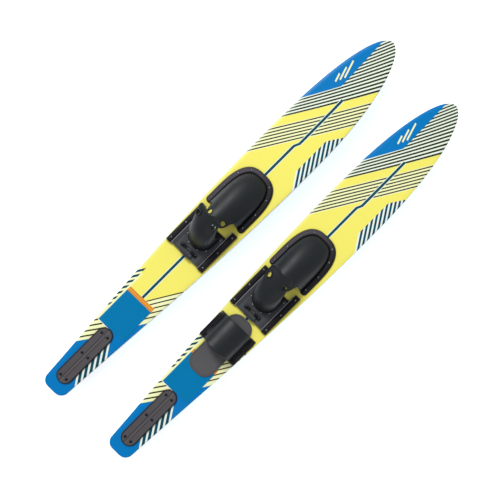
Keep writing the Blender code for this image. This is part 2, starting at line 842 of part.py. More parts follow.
def make_rivets(side, slider):
    """Rivets through the top plate, the boot's flange and the slider, on one backing plate."""
    name = "heel_rivets"
    thick = 0.0012
    half = HEEL_HALF_WIDTH + 0.006
    low = CORE + SLIDER_LOW + GAP

    def band(width):
        wide = heel_outline(half + width / 2, HEEL_REAR - 0.006 - width / 2, 0.788)
        narrow = heel_outline(half - width / 2, HEEL_REAR - 0.006 + width / 2, 0.788)
        return wide + narrow[::-1]

    backing = side.add(name, plate_mesh(name, band(0.006), thick), (0, 0, low))
    centres = [place(x, station, CORE) for x, station in heel_rivet_spots()]
    profile = screw_profile(SLIDER_LOW + GAP + thick / 2, HEEL_PLATE_HIGH + GAP, 0.0035, 0.0018)
    bodies = side.add(name + "_bodies", turned_mesh(name, profile, centres))
    boolean(backing, side.as_cutter(bodies), "UNION")
    pocket = side.add("rivet_pocket", plate_mesh("rivet_pocket", band(0.0066), thick + 0.0013),
                      (0, 0, low - 0.001))
    boolean(slider, side.as_cutter(pocket))
    holes = hole_cutter(side, "rivet_holes", centres, 0.0021, -0.002, 0.03)
    boolean(slider, holes)
    finish(backing, steel())
    return holes


def make_lever(side):
    centre = place(0, PIVOT, CORE + PIVOT_HEIGHT)
    bore = rod_mesh("pin_hole", Vector(), PIN_RADIUS + GAP, 0.05)
    pin_hole = side.as_cutter(side.add("pin_hole", bore, centre))
    low = Vector((-LEVER_HALF_WIDTH, -0.0250, -0.0020))
    high = Vector((LEVER_HALF_WIDTH, 0.0010, 0.0010))
    lever = side.add("lock_lever", box_mesh("lock_lever", low, high), centre)
    bevel(lever, 0.0006)
    knuckle = rod_mesh("lever_knuckle", Vector(), KNUCKLE_RADIUS, LEVER_HALF_WIDTH)
    boolean(lever, side.as_cutter(side.add("lever_knuckle", knuckle, centre)), "UNION")
    foot = SLIDER_LOW - PIVOT_HEIGHT
    tooth_low = Vector((-0.006, -0.0095, foot))
    tooth = box_mesh("lever_tooth", tooth_low, Vector((0.006, -0.0055, -0.001)))
    boolean(lever, side.as_cutter(side.add("lever_tooth", tooth, centre)), "UNION")
    grip_low = Vector((-0.020, -0.0290, -0.0018))
    grip = box_mesh("lever_grip", grip_low, Vector((0.020, -0.0235, 0.0030)))
    boolean(lever, side.as_cutter(side.add("lever_grip", grip, centre)), "UNION")
    gap_low = Vector((-COIL_HALF_WIDTH, -0.0050, -0.006))
    gap_high = Vector((COIL_HALF_WIDTH, 0.0060, 0.006))
    coil_gap = side.add("coil_gap", box_mesh("coil_gap", gap_low, gap_high), centre)
    boolean(lever, side.as_cutter(coil_gap))
    boolean(lever, pin_hole)
    finish(lever, black_plastic())
    return pin_hole, centre


def make_pin(side, centre):
    head = 0.0030
    reach = LEVER_HALF_WIDTH + 0.0072
    pin = side.add("lock_pin", rod_mesh("lock_pin", Vector(), PIN_RADIUS, reach + 0.001), centre)
    for hand, sign in HANDS:
        name = f"pin_head_{hand}"
        mesh = rod_mesh(name, Vector((sign * (reach + 0.0008), 0, 0)), head, 0.0006)
        boolean(pin, side.as_cutter(side.add(name, mesh, centre)), "UNION")
    finish(pin, steel())


def make_spring(side, centre):
    """A torsion coil round the pin: a wire helix along X."""
    reach = COIL_HALF_WIDTH - 0.0012
    curve = bpy.data.curves.new("lock_spring", "CURVE")
    curve.dimensions = "3D"
    curve.bevel_depth = COIL_WIRE
    curve.bevel_resolution = 1
    curve.use_fill_caps = True
    spline = curve.splines.new("POLY")
    count = COIL_TURNS * 8 + 1
    spline.points.add(count - 1)
    for number, point in enumerate(spline.points):
        share = number / (count - 1)
        angle = 2 * math.pi * COIL_TURNS * share
        x = -reach + 2 * reach * share
        point.co = (x, COIL_RADIUS * math.cos(angle), COIL_RADIUS * math.sin(angle), 1)
    holder = bpy.data.objects.new("lock_spring_path", curve)
    bpy.context.scene.collection.objects.link(holder)
    shape = holder.evaluated_get(bpy.context.evaluated_depsgraph_get())
    mesh = bpy.data.meshes.new_from_object(shape)
    bpy.data.objects.remove(holder, do_unlink=True)
    bm = bmesh.new()
    bm.from_mesh(mesh)
    bmesh.ops.remove_doubles(bm, verts=bm.verts[:], dist=1e-6)
    finish(side.add("lock_spring", mesh_from("lock_spring", bm), centre), steel())


def make_binding(side, board):
    toe_holes = make_toe_frame(side, board)
    make_toe_boot(side, toe_holes)
    for hand, sign in HANDS:
        make_rail(side, board, hand, sign)
    make_rack(side, board)
    window = lever_window(side)
    slider = make_slider(side, window)
    rivet_holes = make_rivets(side, slider)
    make_heel_boot(side, rivet_holes)
    pin_hole, centre = make_lever(side)
    make_heel_plate(side, window, rivet_holes, pin_hole)
    make_pin(side, centre)
    make_spring(side, centre)


# Rear toe piece


def make_rear_pad(side):
    outline = rounded(-PAD_HALF_WIDTH, PAD_HALF_WIDTH, PAD_START, PAD_END, 0.040, 6)
    mesh = plate_mesh("rear_foot_pad", outline, PAD_THICKNESS)
    pad = side.add("rear_foot_pad", mesh, (0, 0, CORE + GAP))
    # The pad's rear end lies over the traction pad.
    low = place(-TRACTION_HALF_WIDTH - 0.0005, PAD_START - 0.013, CORE - 0.001)
    high = place(TRACTION_HALF_WIDTH + 0.0005, TRACTION_END + 0.0005,
                 CORE + TRACTION_THICKNESS + 2 * GAP)
    step = side.as_cutter(side.add("pad_step", box_mesh("pad_step", low, high)))
    boolean(pad, step)
    finish(pad, grey_foam())


def rear_arch(station, angle):
    """A point of the strap's arch: angle runs from -90 to 90 degrees, left foot to right."""
    run = (station - CLAMP_START) / (CLAMP_END - CLAMP_START)
    high = STRAP_HEIGHT - STRAP_FALL * run
    wide = CLAMP_INNER - 2 * GAP
    sine = math.sin(angle)
    x = math.copysign(wide * abs(sine) ** 0.9, sine)
    z = high * max(0.0, math.cos(angle)) ** 0.8
    return place(x, station, CORE + GAP + FLANGE / 2 + z)


def make_rear_strap(side):
    angles = [math.radians(-90 + 180 * column / 12) for column in range(13)]
    rows = []
    for step in range(4):
        row = []
        for angle in angles:
            rear = STRAP_START + STRAP_SET_BACK - STRAP_BOW * math.cos(angle)
            row.append(rear_arch(rear + (STRAP_END - rear) * step / 3, angle))
        rows.append(row)
    arch = side.add("rear_arch", sheet_mesh("rear_arch", rows))
    shell = arch.modifiers.new("rubber", "SOLIDIFY")
    shell.thickness = RUBBER
    shell.offset = -1
    side.as_cutter(arch)
    flanges = []
    for hand, sign in HANDS:
        edges = sorted((sign * (CLAMP_INNER - 0.004), sign * (CLAMP_OUTER - 0.002)))
        outline = rectangle(*edges, STRAP_START, STRAP_END)
        name = "rear_strap" if sign < 0 else "strap_right_edge"
        flanges.append(side.add(name, plate_mesh(name, outline, FLANGE), (0, 0, CORE + GAP)))
    strap, right_edge = flanges
    boolean(strap, arch, "UNION")
    boolean(strap, side.as_cutter(right_edge), "UNION")
    return finish(strap, black_rubber())


def make_rear_clamp(side, board, strap, hand, sign):
    name = f"rear_{hand}_clamp"
    edges = sorted((sign * CLAMP_INNER, sign * CLAMP_OUTER))
    low = FLANGE + 2 * GAP
    outline = rounded(*edges, CLAMP_START, CLAMP_END, 0.007, 3)
    clamp = side.add(name, plate_mesh(name, outline, CLAMP_HEIGHT - low), (0, 0, CORE + low))
    middle = sign * (CLAMP_INNER + CLAMP_OUTER) / 2
    spots = [(middle, station) for station in CLAMP_SCREW_STATIONS]
    strip = straight_strip(middle, CLAMP_SCREW_STATIONS, 0.007)
    centres = screw_row(side, name + "_screws", spots, strip, CLAMP_HEIGHT, board)
    holes = hole_cutter(side, name + "_holes", centres, SCREW_HOLE, -0.01, 0.03)
    boolean(clamp, holes)
    boolean(strap, holes)
    finish(clamp, black_plastic())


def make_rear_toe(side, board):
    make_rear_pad(side)
    strap = make_rear_strap(side)
    for hand, sign in HANDS:
        make_rear_clamp(side, board, strap, hand, sign)


def make_ski(side):
    board = make_board(side)
    make_traction_pad(side)
    holes = make_fin_plate(side)
    make_fin(side, holes)
    boolean(board, holes)
    make_fin_screws(side)
    make_binding(side, board)
    return board


def main():
    clear_scene()
    parts = bpy.data.collections.new("water_ski_pair")
    cutters = bpy.data.collections.new("cutters")
    bpy.context.scene.collection.children.link(parts)
    bpy.context.scene.collection.children.link(cutters)
    make_ski(Side("left", -SPACING / 2, 0.130, 0.119, 0.016, parts, cutters))
    right = Side("right", SPACING / 2, 0.112, 0.155, 0.012, parts, cutters)
    make_rear_toe(right, make_ski(right))


main()
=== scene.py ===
"""Looks of the water ski pair. Metres, +Y to the tips, +Z up."""

import math

import bmesh
import bpy
import numpy as np
from mathutils import Matrix, Vector


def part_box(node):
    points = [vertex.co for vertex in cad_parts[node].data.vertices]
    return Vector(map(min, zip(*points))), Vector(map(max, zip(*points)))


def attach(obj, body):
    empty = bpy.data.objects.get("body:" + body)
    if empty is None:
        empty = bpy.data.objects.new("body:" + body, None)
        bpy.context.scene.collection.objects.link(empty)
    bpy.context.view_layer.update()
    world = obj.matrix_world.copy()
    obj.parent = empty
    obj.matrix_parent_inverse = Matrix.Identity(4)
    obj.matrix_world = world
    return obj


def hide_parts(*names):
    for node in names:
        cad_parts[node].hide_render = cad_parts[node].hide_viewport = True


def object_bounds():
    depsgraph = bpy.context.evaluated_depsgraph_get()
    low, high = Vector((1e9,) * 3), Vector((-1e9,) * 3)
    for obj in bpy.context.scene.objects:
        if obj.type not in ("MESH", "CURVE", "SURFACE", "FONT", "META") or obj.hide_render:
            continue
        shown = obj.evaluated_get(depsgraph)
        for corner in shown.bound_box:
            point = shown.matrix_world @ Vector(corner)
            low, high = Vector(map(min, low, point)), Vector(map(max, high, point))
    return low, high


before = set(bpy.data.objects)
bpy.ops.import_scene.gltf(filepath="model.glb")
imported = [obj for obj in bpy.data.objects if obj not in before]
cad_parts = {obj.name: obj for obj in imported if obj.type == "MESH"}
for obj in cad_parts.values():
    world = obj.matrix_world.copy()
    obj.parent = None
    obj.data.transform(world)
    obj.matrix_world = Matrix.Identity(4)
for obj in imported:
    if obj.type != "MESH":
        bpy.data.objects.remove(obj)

cad_low, cad_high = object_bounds()
HANDS = (("left", -1), ("right", 1))

# The board, as fractions of its length
TAIL_WIDTH = 0.0555
FULL_WIDTH = 0.1270
WIDEST = 0.70
TIP_START = 0.72

# Heights and lengths on a ski, in metres. A station is the distance from the tail.
CORE = 0.020
TAIL_THICKNESS = 0.012
TIP_THICKNESS = 0.009
TAPER_END = 0.390
TAIL_KICK = 0.005
KICK_END = 0.330
TIP_RISE = 0.060
TAIL_CORNER = 0.030
EDGE = 0.004
RUBBER = 0.004
GAP = 0.0003

# The traction pad's area of the deck, and the orange strip ahead of it
PAD_HALF_WIDTH = 0.0575
PAD_START = 0.2905
PAD_END = 0.4335
PAD_THICKNESS = 0.0012
STRIP_END = 0.4500

# Fin plate and its screws
PLATE_THICKNESS = 0.0050
FIN_SPOTS = [(x, station) for station in (0.063, 0.168, 0.265) for x in (-0.0135, 0.0135)]

# Toe piece
TOE_REAR = 0.862
TOE_CENTRE = 0.900
TOE_HALF_WIDTH = 0.0765
TOE_REACH = 0.147
TOE_POWER = 3.0
FRAME_WIDTH = 0.019
FRAME_HEIGHT = 0.008
FLANGE = 0.003
TOE_HEIGHT = 0.072
TOE_TIP_HEIGHT = 0.030
TOE_DOME_HALF_WIDTH = 0.062
TOE_DOME_FRONT = 1.0335
TAB_ANGLE = 28
TONGUE_ANGLE = 44
TONGUE_REACH = 0.048
FINGER_HOLE = 0.0085

# Heel carriage
HEEL_REAR = 0.705
HEEL_HALF_WIDTH = 0.0480
HEEL_FRONT = 0.792
HEEL_SIDE_HEIGHT = 0.092
EAR_TURN = 0.30
EAR_HOLE_LEVEL = 0.86
EAR_FLARE = 0.012
LIFT = {"left": 0.130, "right": 0.112}
REACH = {"left": 0.119, "right": 0.155}
SWAY = {"left": 0.016, "right": 0.012}
SLIDER_HIGH = 0.0060
PLATE_TOP = 0.0126
RAIL_WALL = 0.0675
RAIL_SCREWS = (0.672, 0.745, 0.818)
PIVOT = 0.684
PIVOT_HEIGHT = 0.0170

# Rear toe piece
CLAMP_START = 0.500
CLAMP_END = 0.605
CLAMP_INNER = 0.0565
CLAMP_SCREWS = (0.512, 0.5525, 0.593)
STRAP_END = 0.615
REAR_PAD_CORNER = 0.040

# Distances from a rubber shell's free edge at which it has points
LIP_STEPS = (0.0, 0.00015, 0.0005, 0.0011, 0.0019, 0.0026, 0.0034, 0.0045, 0.0062)


class Ski:
    """One ski, with its place read from the frame."""

    def __init__(self, name):
        low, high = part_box(f"{name}_ski")
        self.name = name
        self.x = (low.x + high.x) / 2
        self.base = low.z
        self.tail = low.y
        self.length = high.y - low.y

    def place(self, x, station, z):
        return np.array((self.x + x, self.tail + station, self.base + z))

    def places(self, points, z):
        """Places of (x, station) points at one height."""
        return [self.place(x, station, z) for x, station in points]

    def across(self, offsets, station, z):
        """Places of several x at one station and height."""
        return [self.place(x, station, z) for x in offsets]

    def box(self, node):
        """A node's lowest and highest corners, in this ski's own x, station and height."""
        low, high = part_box(f"{self.name}_{node}")
        shift = Vector((self.x, self.tail, self.base))
        return low - shift, high - shift

    def fit(self, obj, name, slot, node, body="board"):
        """Names a finished piece, and puts it on a body in place of a node."""
        obj.name = f"{self.name}_{name}"
        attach(obj, f"{self.name}_{body}")
        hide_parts(f"{self.name}_{node}")


# Colour and shader arithmetic


def linear(red, green, blue):
    """A colour from 0..255 display values."""
    def channel(value):
        value /= 255
        return value / 12.92 if value <= 0.04045 else ((value + 0.055) / 1.055) ** 2.4

    return (channel(red), channel(green), channel(blue), 1.0)


def scaled(color, factor, plus=0.0):
    return tuple(min(1.0, channel * factor + plus) for channel in color[:3]) + (1.0,)


class Field:
    """A shader value that can be added, multiplied and compared in Python."""

    def __init__(self, tree, socket):
        self.tree = tree
        self.socket = socket

    def math(self, operation, other=0.0, third=None, clamp=False):
        node = self.tree.nodes.new("ShaderNodeMath")
        node.operation = operation
        node.use_clamp = clamp
        for slot, value in zip(node.inputs, (self, other, third)):
            if isinstance(value, Field):
                self.tree.links.new(value.socket, slot)
            elif value is not None:
                slot.default_value = value
        return Field(self.tree, node.outputs[0])

    def __add__(self, other):
        return self.math("ADD", other)

    def __sub__(self, other):
        return self.math("SUBTRACT", other)

    def __mul__(self, other):
        return self.math("MULTIPLY", other)

    def __truediv__(self, other):
        return self.math("DIVIDE", other)

    def __abs__(self):
        return self.math("ABSOLUTE")

    def both(self, other):
        return self.math("MINIMUM", other)

    def either(self, other):
        return self.math("MAXIMUM", other)

    def inverse(self):
        return self.math("MULTIPLY_ADD", -1.0, 1.0)

    def above(self, value, soft=0.0006):
        """1 where this is above value, 0 below, with a soft edge."""
        return (self - value).math("MULTIPLY_ADD", 1 / soft, 0.5, clamp=True)

    def below(self, value, soft=0.0006):
        return (self - value).math("MULTIPLY_ADD", -1 / soft, 0.5, clamp=True)

    def between(self, low, high, soft=0.0006):
        return self.above(low, soft).both(self.below(high, soft))


def mix(tree, amount, first, second):
    """A colour between two colours, each a socket or a tuple."""
    node = tree.nodes.new("ShaderNodeMix")
    node.data_type = "RGBA"
    node.clamp_factor = True
    tree.links.new(amount.socket, node.inputs["Factor"])
    for slot, value in ((node.inputs[6], first), (node.inputs[7], second)):
        if isinstance(value, tuple):
            slot.default_value = value
        else:
            tree.links.new(value, slot)
    return node.outputs[2]


def new_material(name):
    made = bpy.data.materials.new(name)
    made.use_nodes = True
    tree = made.node_tree
    return made, tree, tree.nodes["Principled BSDF"]


def fields(tree, vector):
    """Fields of a vector socket's x, y and z."""
    split = tree.nodes.new("ShaderNodeSeparateXYZ")
    tree.links.new(vector, split.inputs[0])
    return [Field(tree, output) for output in split.outputs]


def own_place(tree):
    """Where a point is on its object, which a posed piece carries with it."""
    return tree.nodes.new("ShaderNodeTexCoord").outputs["Object"]


def facing(tree, axis):
    """How far a surface faces along x, y or z, for an axis of 0, 1 or 2."""
    return fields(tree, tree.nodes.new("ShaderNodeNewGeometry").outputs["Normal"])[axis]


def noise(tree, vector, scale, detail=3.0, roughness=0.55, stretch=None):
    if stretch:
        mapping = tree.nodes.new("ShaderNodeMapping")
        mapping.inputs["Scale"].default_value = stretch
        tree.links.new(vector, mapping.inputs["Vector"])
        vector = mapping.outputs["Vector"]
    node = tree.nodes.new("ShaderNodeTexNoise")
    node.inputs["Scale"].default_value = scale
    node.inputs["Detail"].default_value = detail
    node.inputs["Roughness"].default_value = roughness
    tree.links.new(vector, node.inputs["Vector"])
    return Field(tree, node.outputs["Fac"])


def bump(tree, shader, height, strength, distance):
    node = tree.nodes.new("ShaderNodeBump")
    node.inputs["Strength"].default_value = strength
    node.inputs["Distance"].default_value = distance
    tree.links.new(height.socket, node.inputs["Height"])
    tree.links.new(node.outputs["Normal"], shader.inputs["Normal"])


def painted_hollow_shade(tree, reach, level):
    """How much painted shade a point gets from what stands within reach of it, by ambient occlusion."""
    shade = tree.nodes.new("ShaderNodeAmbientOcclusion")
    shade.samples = 8
    shade.inputs["Distance"].default_value = reach
    return Field(tree, shade.outputs["AO"]).math("MULTIPLY_ADD", -1.4, level + 0.1, clamp=True)


def stripes(across, first, pitch, width, count):
    """1 on parallel stripes: the first is centred on first, each width wide."""
    turns = (across - first) / pitch
    nearest = turns.math("ROUND").math("MAXIMUM", 0.0).math("MINIMUM", float(count - 1))
    return (abs(turns - nearest) * pitch).below(width / 2)


# Materials

YELLOW = linear(250, 241, 112)
PALE = linear(250, 252, 196)
ICE = linear(238, 249, 232)
WHITE = linear(238, 250, 244)
BLUE = linear(0, 122, 194)
TEAL = linear(14, 74, 92)
OLIVE = linear(46, 54, 30)
ORANGE = linear(242, 158, 58)
BROWN = linear(120, 70, 30)
PITCH_BLACK = linear(8, 8, 10)


def moulded(name, color, roughness, grain=900.0, depth=0.0003, lift=1.25, slope=0.0, hollow=0.010,
            shine=0.32):
    """Moulded plastic or rubber: a fine grain, clouded colour, edges lightened as wear and as a painted
    highlight, and painted shade in hollows.

    Slope is how much painted shade darkens the steep faces; hollow is the reach of the painted shade in
    hollows, in metres.
    """
    made, tree, shader = new_material(name)
    place = own_place(tree)
    cloud = noise(tree, place, 22.0, 4.0)
    fine = noise(tree, place, grain, 4.0, 0.7)
    dark = scaled(color, 0.12)
    base = mix(tree, cloud * 0.35, color, scaled(color, lift, 0.003))
    pointed = Field(tree, tree.nodes.new("ShaderNodeNewGeometry").outputs["Pointiness"])
    # Convex edges lightened: partly wear, partly a painted highlight.
    edge_wear_and_highlight = (pointed - 0.53).math("MULTIPLY", 5.0, clamp=True) * 0.5
    base = mix(tree, edge_wear_and_highlight, base, scaled(color, 2.0, 0.01))
    # Painted shade on steep faces, which darkens the sides and rounded shoulders.
    if slope:
        painted_steep_shade = facing(tree, 2).math("MULTIPLY_ADD", -2.2, 2.1, clamp=True)
        base = mix(tree, painted_steep_shade * slope, base, dark)
    # Painted shade in hollows and beside other parts, from ambient occlusion.
    base = mix(tree, painted_hollow_shade(tree, hollow, 1.2), base, dark)
    tree.links.new(base, shader.inputs["Base Color"])
    rough = (cloud - 0.5) * 0.22 + (fine - 0.5) * 0.14 + roughness
    tree.links.new(rough.socket, shader.inputs["Roughness"])
    shader.inputs["Specular IOR Level"].default_value = shine
    bump(tree, shader, fine, 0.35, depth)
    return made


def layered(made, ski, paint):
    """Repaints a moulded material: paint takes the node tree, its colour, and x and station."""
    tree = made.node_tree
    shader = tree.nodes["Principled BSDF"]
    x, y, _ = fields(tree, own_place(tree))
    base = shader.inputs["Base Color"].links[0].from_socket
    tree.links.new(paint(tree, base, x - ski.x, y - ski.tail), shader.inputs["Base Color"])
    return made


def grip_material(ski):
    """Blue rubber with a square pattern of lighter and darker cells."""
    def paint(tree, base, x, s):
        cells = stripes(x, -0.054, 0.0072, 0.0034, 16).either(stripes(s, 0.294, 0.0072, 0.0034, 20))
        return mix(tree, cells * 0.42, base, linear(4, 84, 140))

    made = moulded(f"{ski.name}_grip_rubber", linear(0, 142, 200), 0.58, 500.0, lift=1.1, hollow=0.0012,
                   shine=0.06)
    return layered(made, ski, paint)


def rail_material(ski):
    """Black plastic with a painted highlight along the inner lip and painted shade in the channel beside
    it.
    """
    inner = ski.box("right_rail")[0].x

    def paint(tree, base, x, s):
        offset = abs(x) - inner
        # Painted shade in the channel, then a painted highlight along the inner lip.
        base = mix(tree, offset.between(0.0019, 0.0050), base, PITCH_BLACK)
        return mix(tree, offset.below(0.0017) * 0.85, base, linear(176, 176, 186))

    made = moulded(f"{ski.name}_rail_plastic", linear(25, 23, 27), 0.42, slope=0.9, shine=0.14)
    return layered(made, ski, paint)


def toe_frame_material(ski):
    """Grey plastic that falls into shade towards the ski's right side."""
    def paint(tree, base, x, s):
        shade = x.math("MULTIPLY_ADD", 9.0, 0.35, clamp=True)
        return mix(tree, shade * 0.85, base, linear(14, 12, 16))

    made = moulded(f"{ski.name}_toe_frame_plastic", linear(78, 74, 82), 0.42, slope=0.95, shine=0.14)
    return layered(made, ski, paint)


def heel_plate_material(ski):
    """Charcoal plastic with a fine square relief, and two slots across the lever's hinge painted dark as
    shade.
    """
    def paint(tree, base, x, s):
        relief = stripes(x, -0.066, 0.0055, 0.0015, 25).either(stripes(s, 0.660, 0.0055, 0.0015, 25))
        base = mix(tree, relief * 0.40, base, linear(100, 102, 108))
        # Slots painted near-black as the shade inside them.
        slot = abs(x).between(0.010, 0.037).both(s.between(0.6750, 0.6875))
        return mix(tree, slot * 0.9, base, PITCH_BLACK)

    made = moulded(f"{ski.name}_heel_plate_plastic", linear(50, 52, 56), 0.45, 700.0, 0.0004, slope=0.7,
                   shine=0.12)
    return layered(made, ski, paint)


def fin_plate_material(ski):
    """Grey plastic with painted shade on its rolled edge and in a groove, and a painted highlight along the
    ridge.
    """
    low, high = ski.box("fin_top_plate")
    half = high.x
    middle = (low.y + high.y) / 2
    straight = (high.y - low.y) / 2 - half

    def paint(tree, base, x, s):
        beyond = (abs(s - middle) - straight).either(0.0)
        reach = (x * x + beyond * beyond).math("SQRT")
        # Painted shade in a groove beside the ridge, a painted highlight along it, and a painted shadow
        # round the rolled edge.
        base = mix(tree, x.between(-0.0062, -0.0034) * 0.8, base, linear(44, 41, 43))
        base = mix(tree, x.between(0.0014, 0.0034) * 0.3, base, linear(138, 132, 136))
        return mix(tree, reach.above(half - 0.0036, 0.0014), base, linear(12, 11, 13))

    made = moulded(f"{ski.name}_fin_plate_plastic", linear(76, 72, 76), 0.50, 600.0, 0.0005, slope=0.5)
    return layered(made, ski, paint)


def streaked(name, color, other, share, grain, rough, relief, finish=()):
    """Streaks of another colour. Rough is the roughness's swing and its least value."""
    made, tree, shader = new_material(name)
    streak = noise(tree, own_place(tree), *grain)
    tree.links.new(mix(tree, streak * share, color, other), shader.inputs["Base Color"])
    tree.links.new((streak * rough[0] + rough[1]).socket, shader.inputs["Roughness"])
    for setting, value in finish:
        shader.inputs[setting].default_value = value
    bump(tree, shader, streak, relief, 0.0002)
    return made


def metal(name, color, roughness):
    grain = (900.0, 2.0, 0.6, (1.0, 0.15, 1.0))
    return streaked(name, color, scaled(color, 0.6), 0.4, grain, (0.25, roughness - 0.1), 0.1,
                    (("Metallic", 1.0),))


def edge_material(name, color):
    """The board's sealed edge: lacquer over faint lengthwise streaks."""
    grain = (60.0, 4.0, 0.6, (6.0, 0.4, 6.0))
    return streaked(name, color, scaled(color, 0.8), 0.5, grain, (0.2, 0.3), 0.08)


def base_material():
    """The running base: blue gel coat with fine streaks along the ski."""
    grain = (40.0, 5.0, 0.7, (6.0, 0.3, 1.0))
    return streaked("running_base", BLUE, linear(40, 140, 206), 0.35, grain, (0.3, 0.15), 0.08,
                    (("Coat Weight", 0.3),))


def board_material(ski):
    """The printed deck: panels, diagonal stripes and the centre line, in ski coordinates."""
    made, tree, shader = new_material(f"{ski.name}_deck_print")
    place = own_place(tree)
    x, y, _ = fields(tree, place)
    x = x - ski.x
    s = y - ski.tail
    rear = s - x * 1.54
    falling = s + x * 1.54
    fore = s - x * 1.66
    color = YELLOW

    def lay(mask, paint):
        nonlocal color
        color = mix(tree, mask, color, paint)

    # Fore body: six fine lines, then lines that fan out to the tip.
    lay(fore.between(1.239, 1.364), PALE)
    lay(stripes(fore, 1.2495, 0.0210, 0.0088, 6), OLIVE)
    fan = (fore - 1.4238) / (x * 0.0287 + 0.0223)
    lay(fan.above(-0.3, 0.05), ICE)
    lay(stripes(fan, 0.0, 1.0, 0.52, 40), OLIVE)

    # Right front stripes.
    patch = x.above(0.068).both(rear.below(1.193)).both(falling.above(1.250))
    lay(patch, WHITE)
    lay(patch.both(stripes(falling, 1.2687, 0.0258, 0.0142, 10)), TEAL)

    # The lamp's glare on the left edge, which is rolled over.
    lay(facing(tree, 0).math("MULTIPLY_ADD", -3.5, -0.25, clamp=True) * 0.75, ICE)

    # Blue tip panel with a generic mark of three bars.
    panel = x.below(-0.0285).both((s - x * 1.75).above(1.523))
    lay(panel, BLUE)
    for number, reach in enumerate((0.030, 0.046, 0.062)):
        middle = -0.066 + 0.012 * number
        start = 1.470 + 0.016 * number
        bar = (x + s * 0.30 - 0.452).between(middle - 0.003, middle + 0.003)
        lay(bar.both(s.between(start, start + reach)).both(panel), PALE)

    # Centre line with a pale outline and a step to the right.
    step = s.math("SUBTRACT", 1.205).math("MULTIPLY", 1 / 0.02, clamp=True)
    offset = abs(x - step * 0.0085)
    run = s.between(0.445, 1.442)
    lay(offset.below(0.0070).both(run), ICE)
    lay(offset.below(0.0046).both(run), TEAL)

    # Tail: patches of fine diagonal lines on both sides, and dashes on the left edge.
    left = s - x * 1.40
    patch = left.above(0.2615).both(s.below(0.292)).both(x.below(0.0))
    lay(patch, PALE)
    lay(patch.both(stripes(left, 0.2825, 0.0285, 0.0090, 5)), OLIVE)
    right = s - x * 1.65
    patch = right.between(0.276, 0.4245).both(x.above(PAD_HALF_WIDTH).either(s.above(0.4505)))
    lay(patch, PALE)
    lay(patch.both(stripes(right, 0.3075, 0.0283, 0.0085, 5)), OLIVE)
    lay(x.below(-PAD_HALF_WIDTH).both(s.above(0.292)).both((s + x * 0.9).below(0.4545)), PALE)
    dashes = x.below(-0.0640).both(stripes(rear, 0.4600, 0.0275, 0.0145, 7))
    lay(dashes.both(s.between(0.335, 0.545)), TEAL)

    # Blue tail, and its right-hand patch of wide stripes.
    lay(right.below(0.276).both(s.below(0.292).both(x.below(-0.002)).inverse()), BLUE)
    lay(left.below(0.2615).both(x.below(0.0)), BLUE)
    patch = x.above(0.0).both(falling.between(0.139, 0.307))
    lay(patch, TEAL)
    lay(patch.both(stripes(falling, 0.147, 0.0304, 0.0125, 6)), WHITE)

    # The area under the traction pad, its border and the plain orange strip ahead of it.
    inside = abs(x).below(PAD_HALF_WIDTH)
    lay(inside.both(s.between(PAD_START, PAD_END)), BLUE)
    lay(x.between(-PAD_HALF_WIDTH, 0.004).both(s.between(0.2885, 0.2912)), ICE)
    lay(inside.both(s.between(PAD_END, STRIP_END)), ORANGE)
    trim = abs(s - 0.4372).below(0.0005).either(abs(s - 0.4462).below(0.0005))
    lay(abs(x).below(0.0560).both(trim), BROWN)

    # Faint clouding, as in a lacquered print, and shade beside the fittings.
    lay((noise(tree, place, 9.0) - 0.5) * 0.015, WHITE)
    lay(painted_hollow_shade(tree, 0.012, 1.15) * 0.8, linear(56, 54, 14))
    tree.links.new(color, shader.inputs["Base Color"])
    fine = noise(tree, place, 420.0, 3.0, 0.6)
    scuffs = noise(tree, place, 60.0, 6.0, 0.75, (4.0, 0.35, 1.0))
    rough = (fine - 0.5) * 0.06 + (scuffs - 0.5) * 0.16 + 0.30
    tree.links.new(rough.socket, shader.inputs["Roughness"])
    shader.inputs["Specular IOR Level"].default_value = 0.08
    shader.inputs["Coat Weight"].default_value = 0.03
    shader.inputs["Coat Roughness"].default_value = 0.12
    bump(tree, shader, fine, 0.10, 0.0003)
    return made


# Mesh tools


def object_from(bm, *materials):
    """A smooth-shaded object from a bmesh, which is freed."""
    mesh = bpy.data.meshes.new("piece")
    bm.to_mesh(mesh)
    bm.free()
    for surface in materials:
        mesh.materials.append(surface)
    obj = bpy.data.objects.new("piece", mesh)
    bpy.context.scene.collection.objects.link(obj)
    return smooth(obj)


def mesh_object(verts, faces, *materials):
    bm = bmesh.new()
    made = [bm.verts.new(place) for place in verts]
    for face in faces:
        bm.faces.new([made[index] for index in face])
    bmesh.ops.remove_doubles(bm, verts=bm.verts[:], dist=2e-6)
    bmesh.ops.dissolve_degenerate(bm, dist=1e-6, edges=bm.edges[:])
    bmesh.ops.recalc_face_normals(bm, faces=bm.faces[:])
    return object_from(bm, *materials)


def smooth(obj, angle=38):
    obj.data.shade_smooth()
    obj.data.set_sharp_from_angle(angle=math.radians(angle))
    return obj


def modified(obj, kind, **settings):
    """Changes an object's mesh by one modifier."""
    modifier = obj.modifiers.new("change", kind)
    for setting, value in settings.items():
        setattr(modifier, setting, value)
    bpy.context.view_layer.update()
    shape = obj.evaluated_get(bpy.context.evaluated_depsgraph_get())
    mesh = bpy.data.meshes.new_from_object(shape)
    obj.modifiers.clear()
    obj.data = mesh
    return smooth(obj)


def cut(obj, other, operation="DIFFERENCE"):
    """Takes another object away from obj, or adds it; the other object is used up."""
    modified(obj, "BOOLEAN", operation=operation, solver="EXACT", object=other)
    bpy.data.objects.remove(other, do_unlink=True)


def add(obj, other):
    cut(obj, other, "UNION")


def rounded_edges(obj, width, segments=3, angle=35):
    return modified(obj, "BEVEL", width=width, segments=segments, limit_method="ANGLE",
                    angle_limit=math.radians(angle), use_clamp_overlap=True)


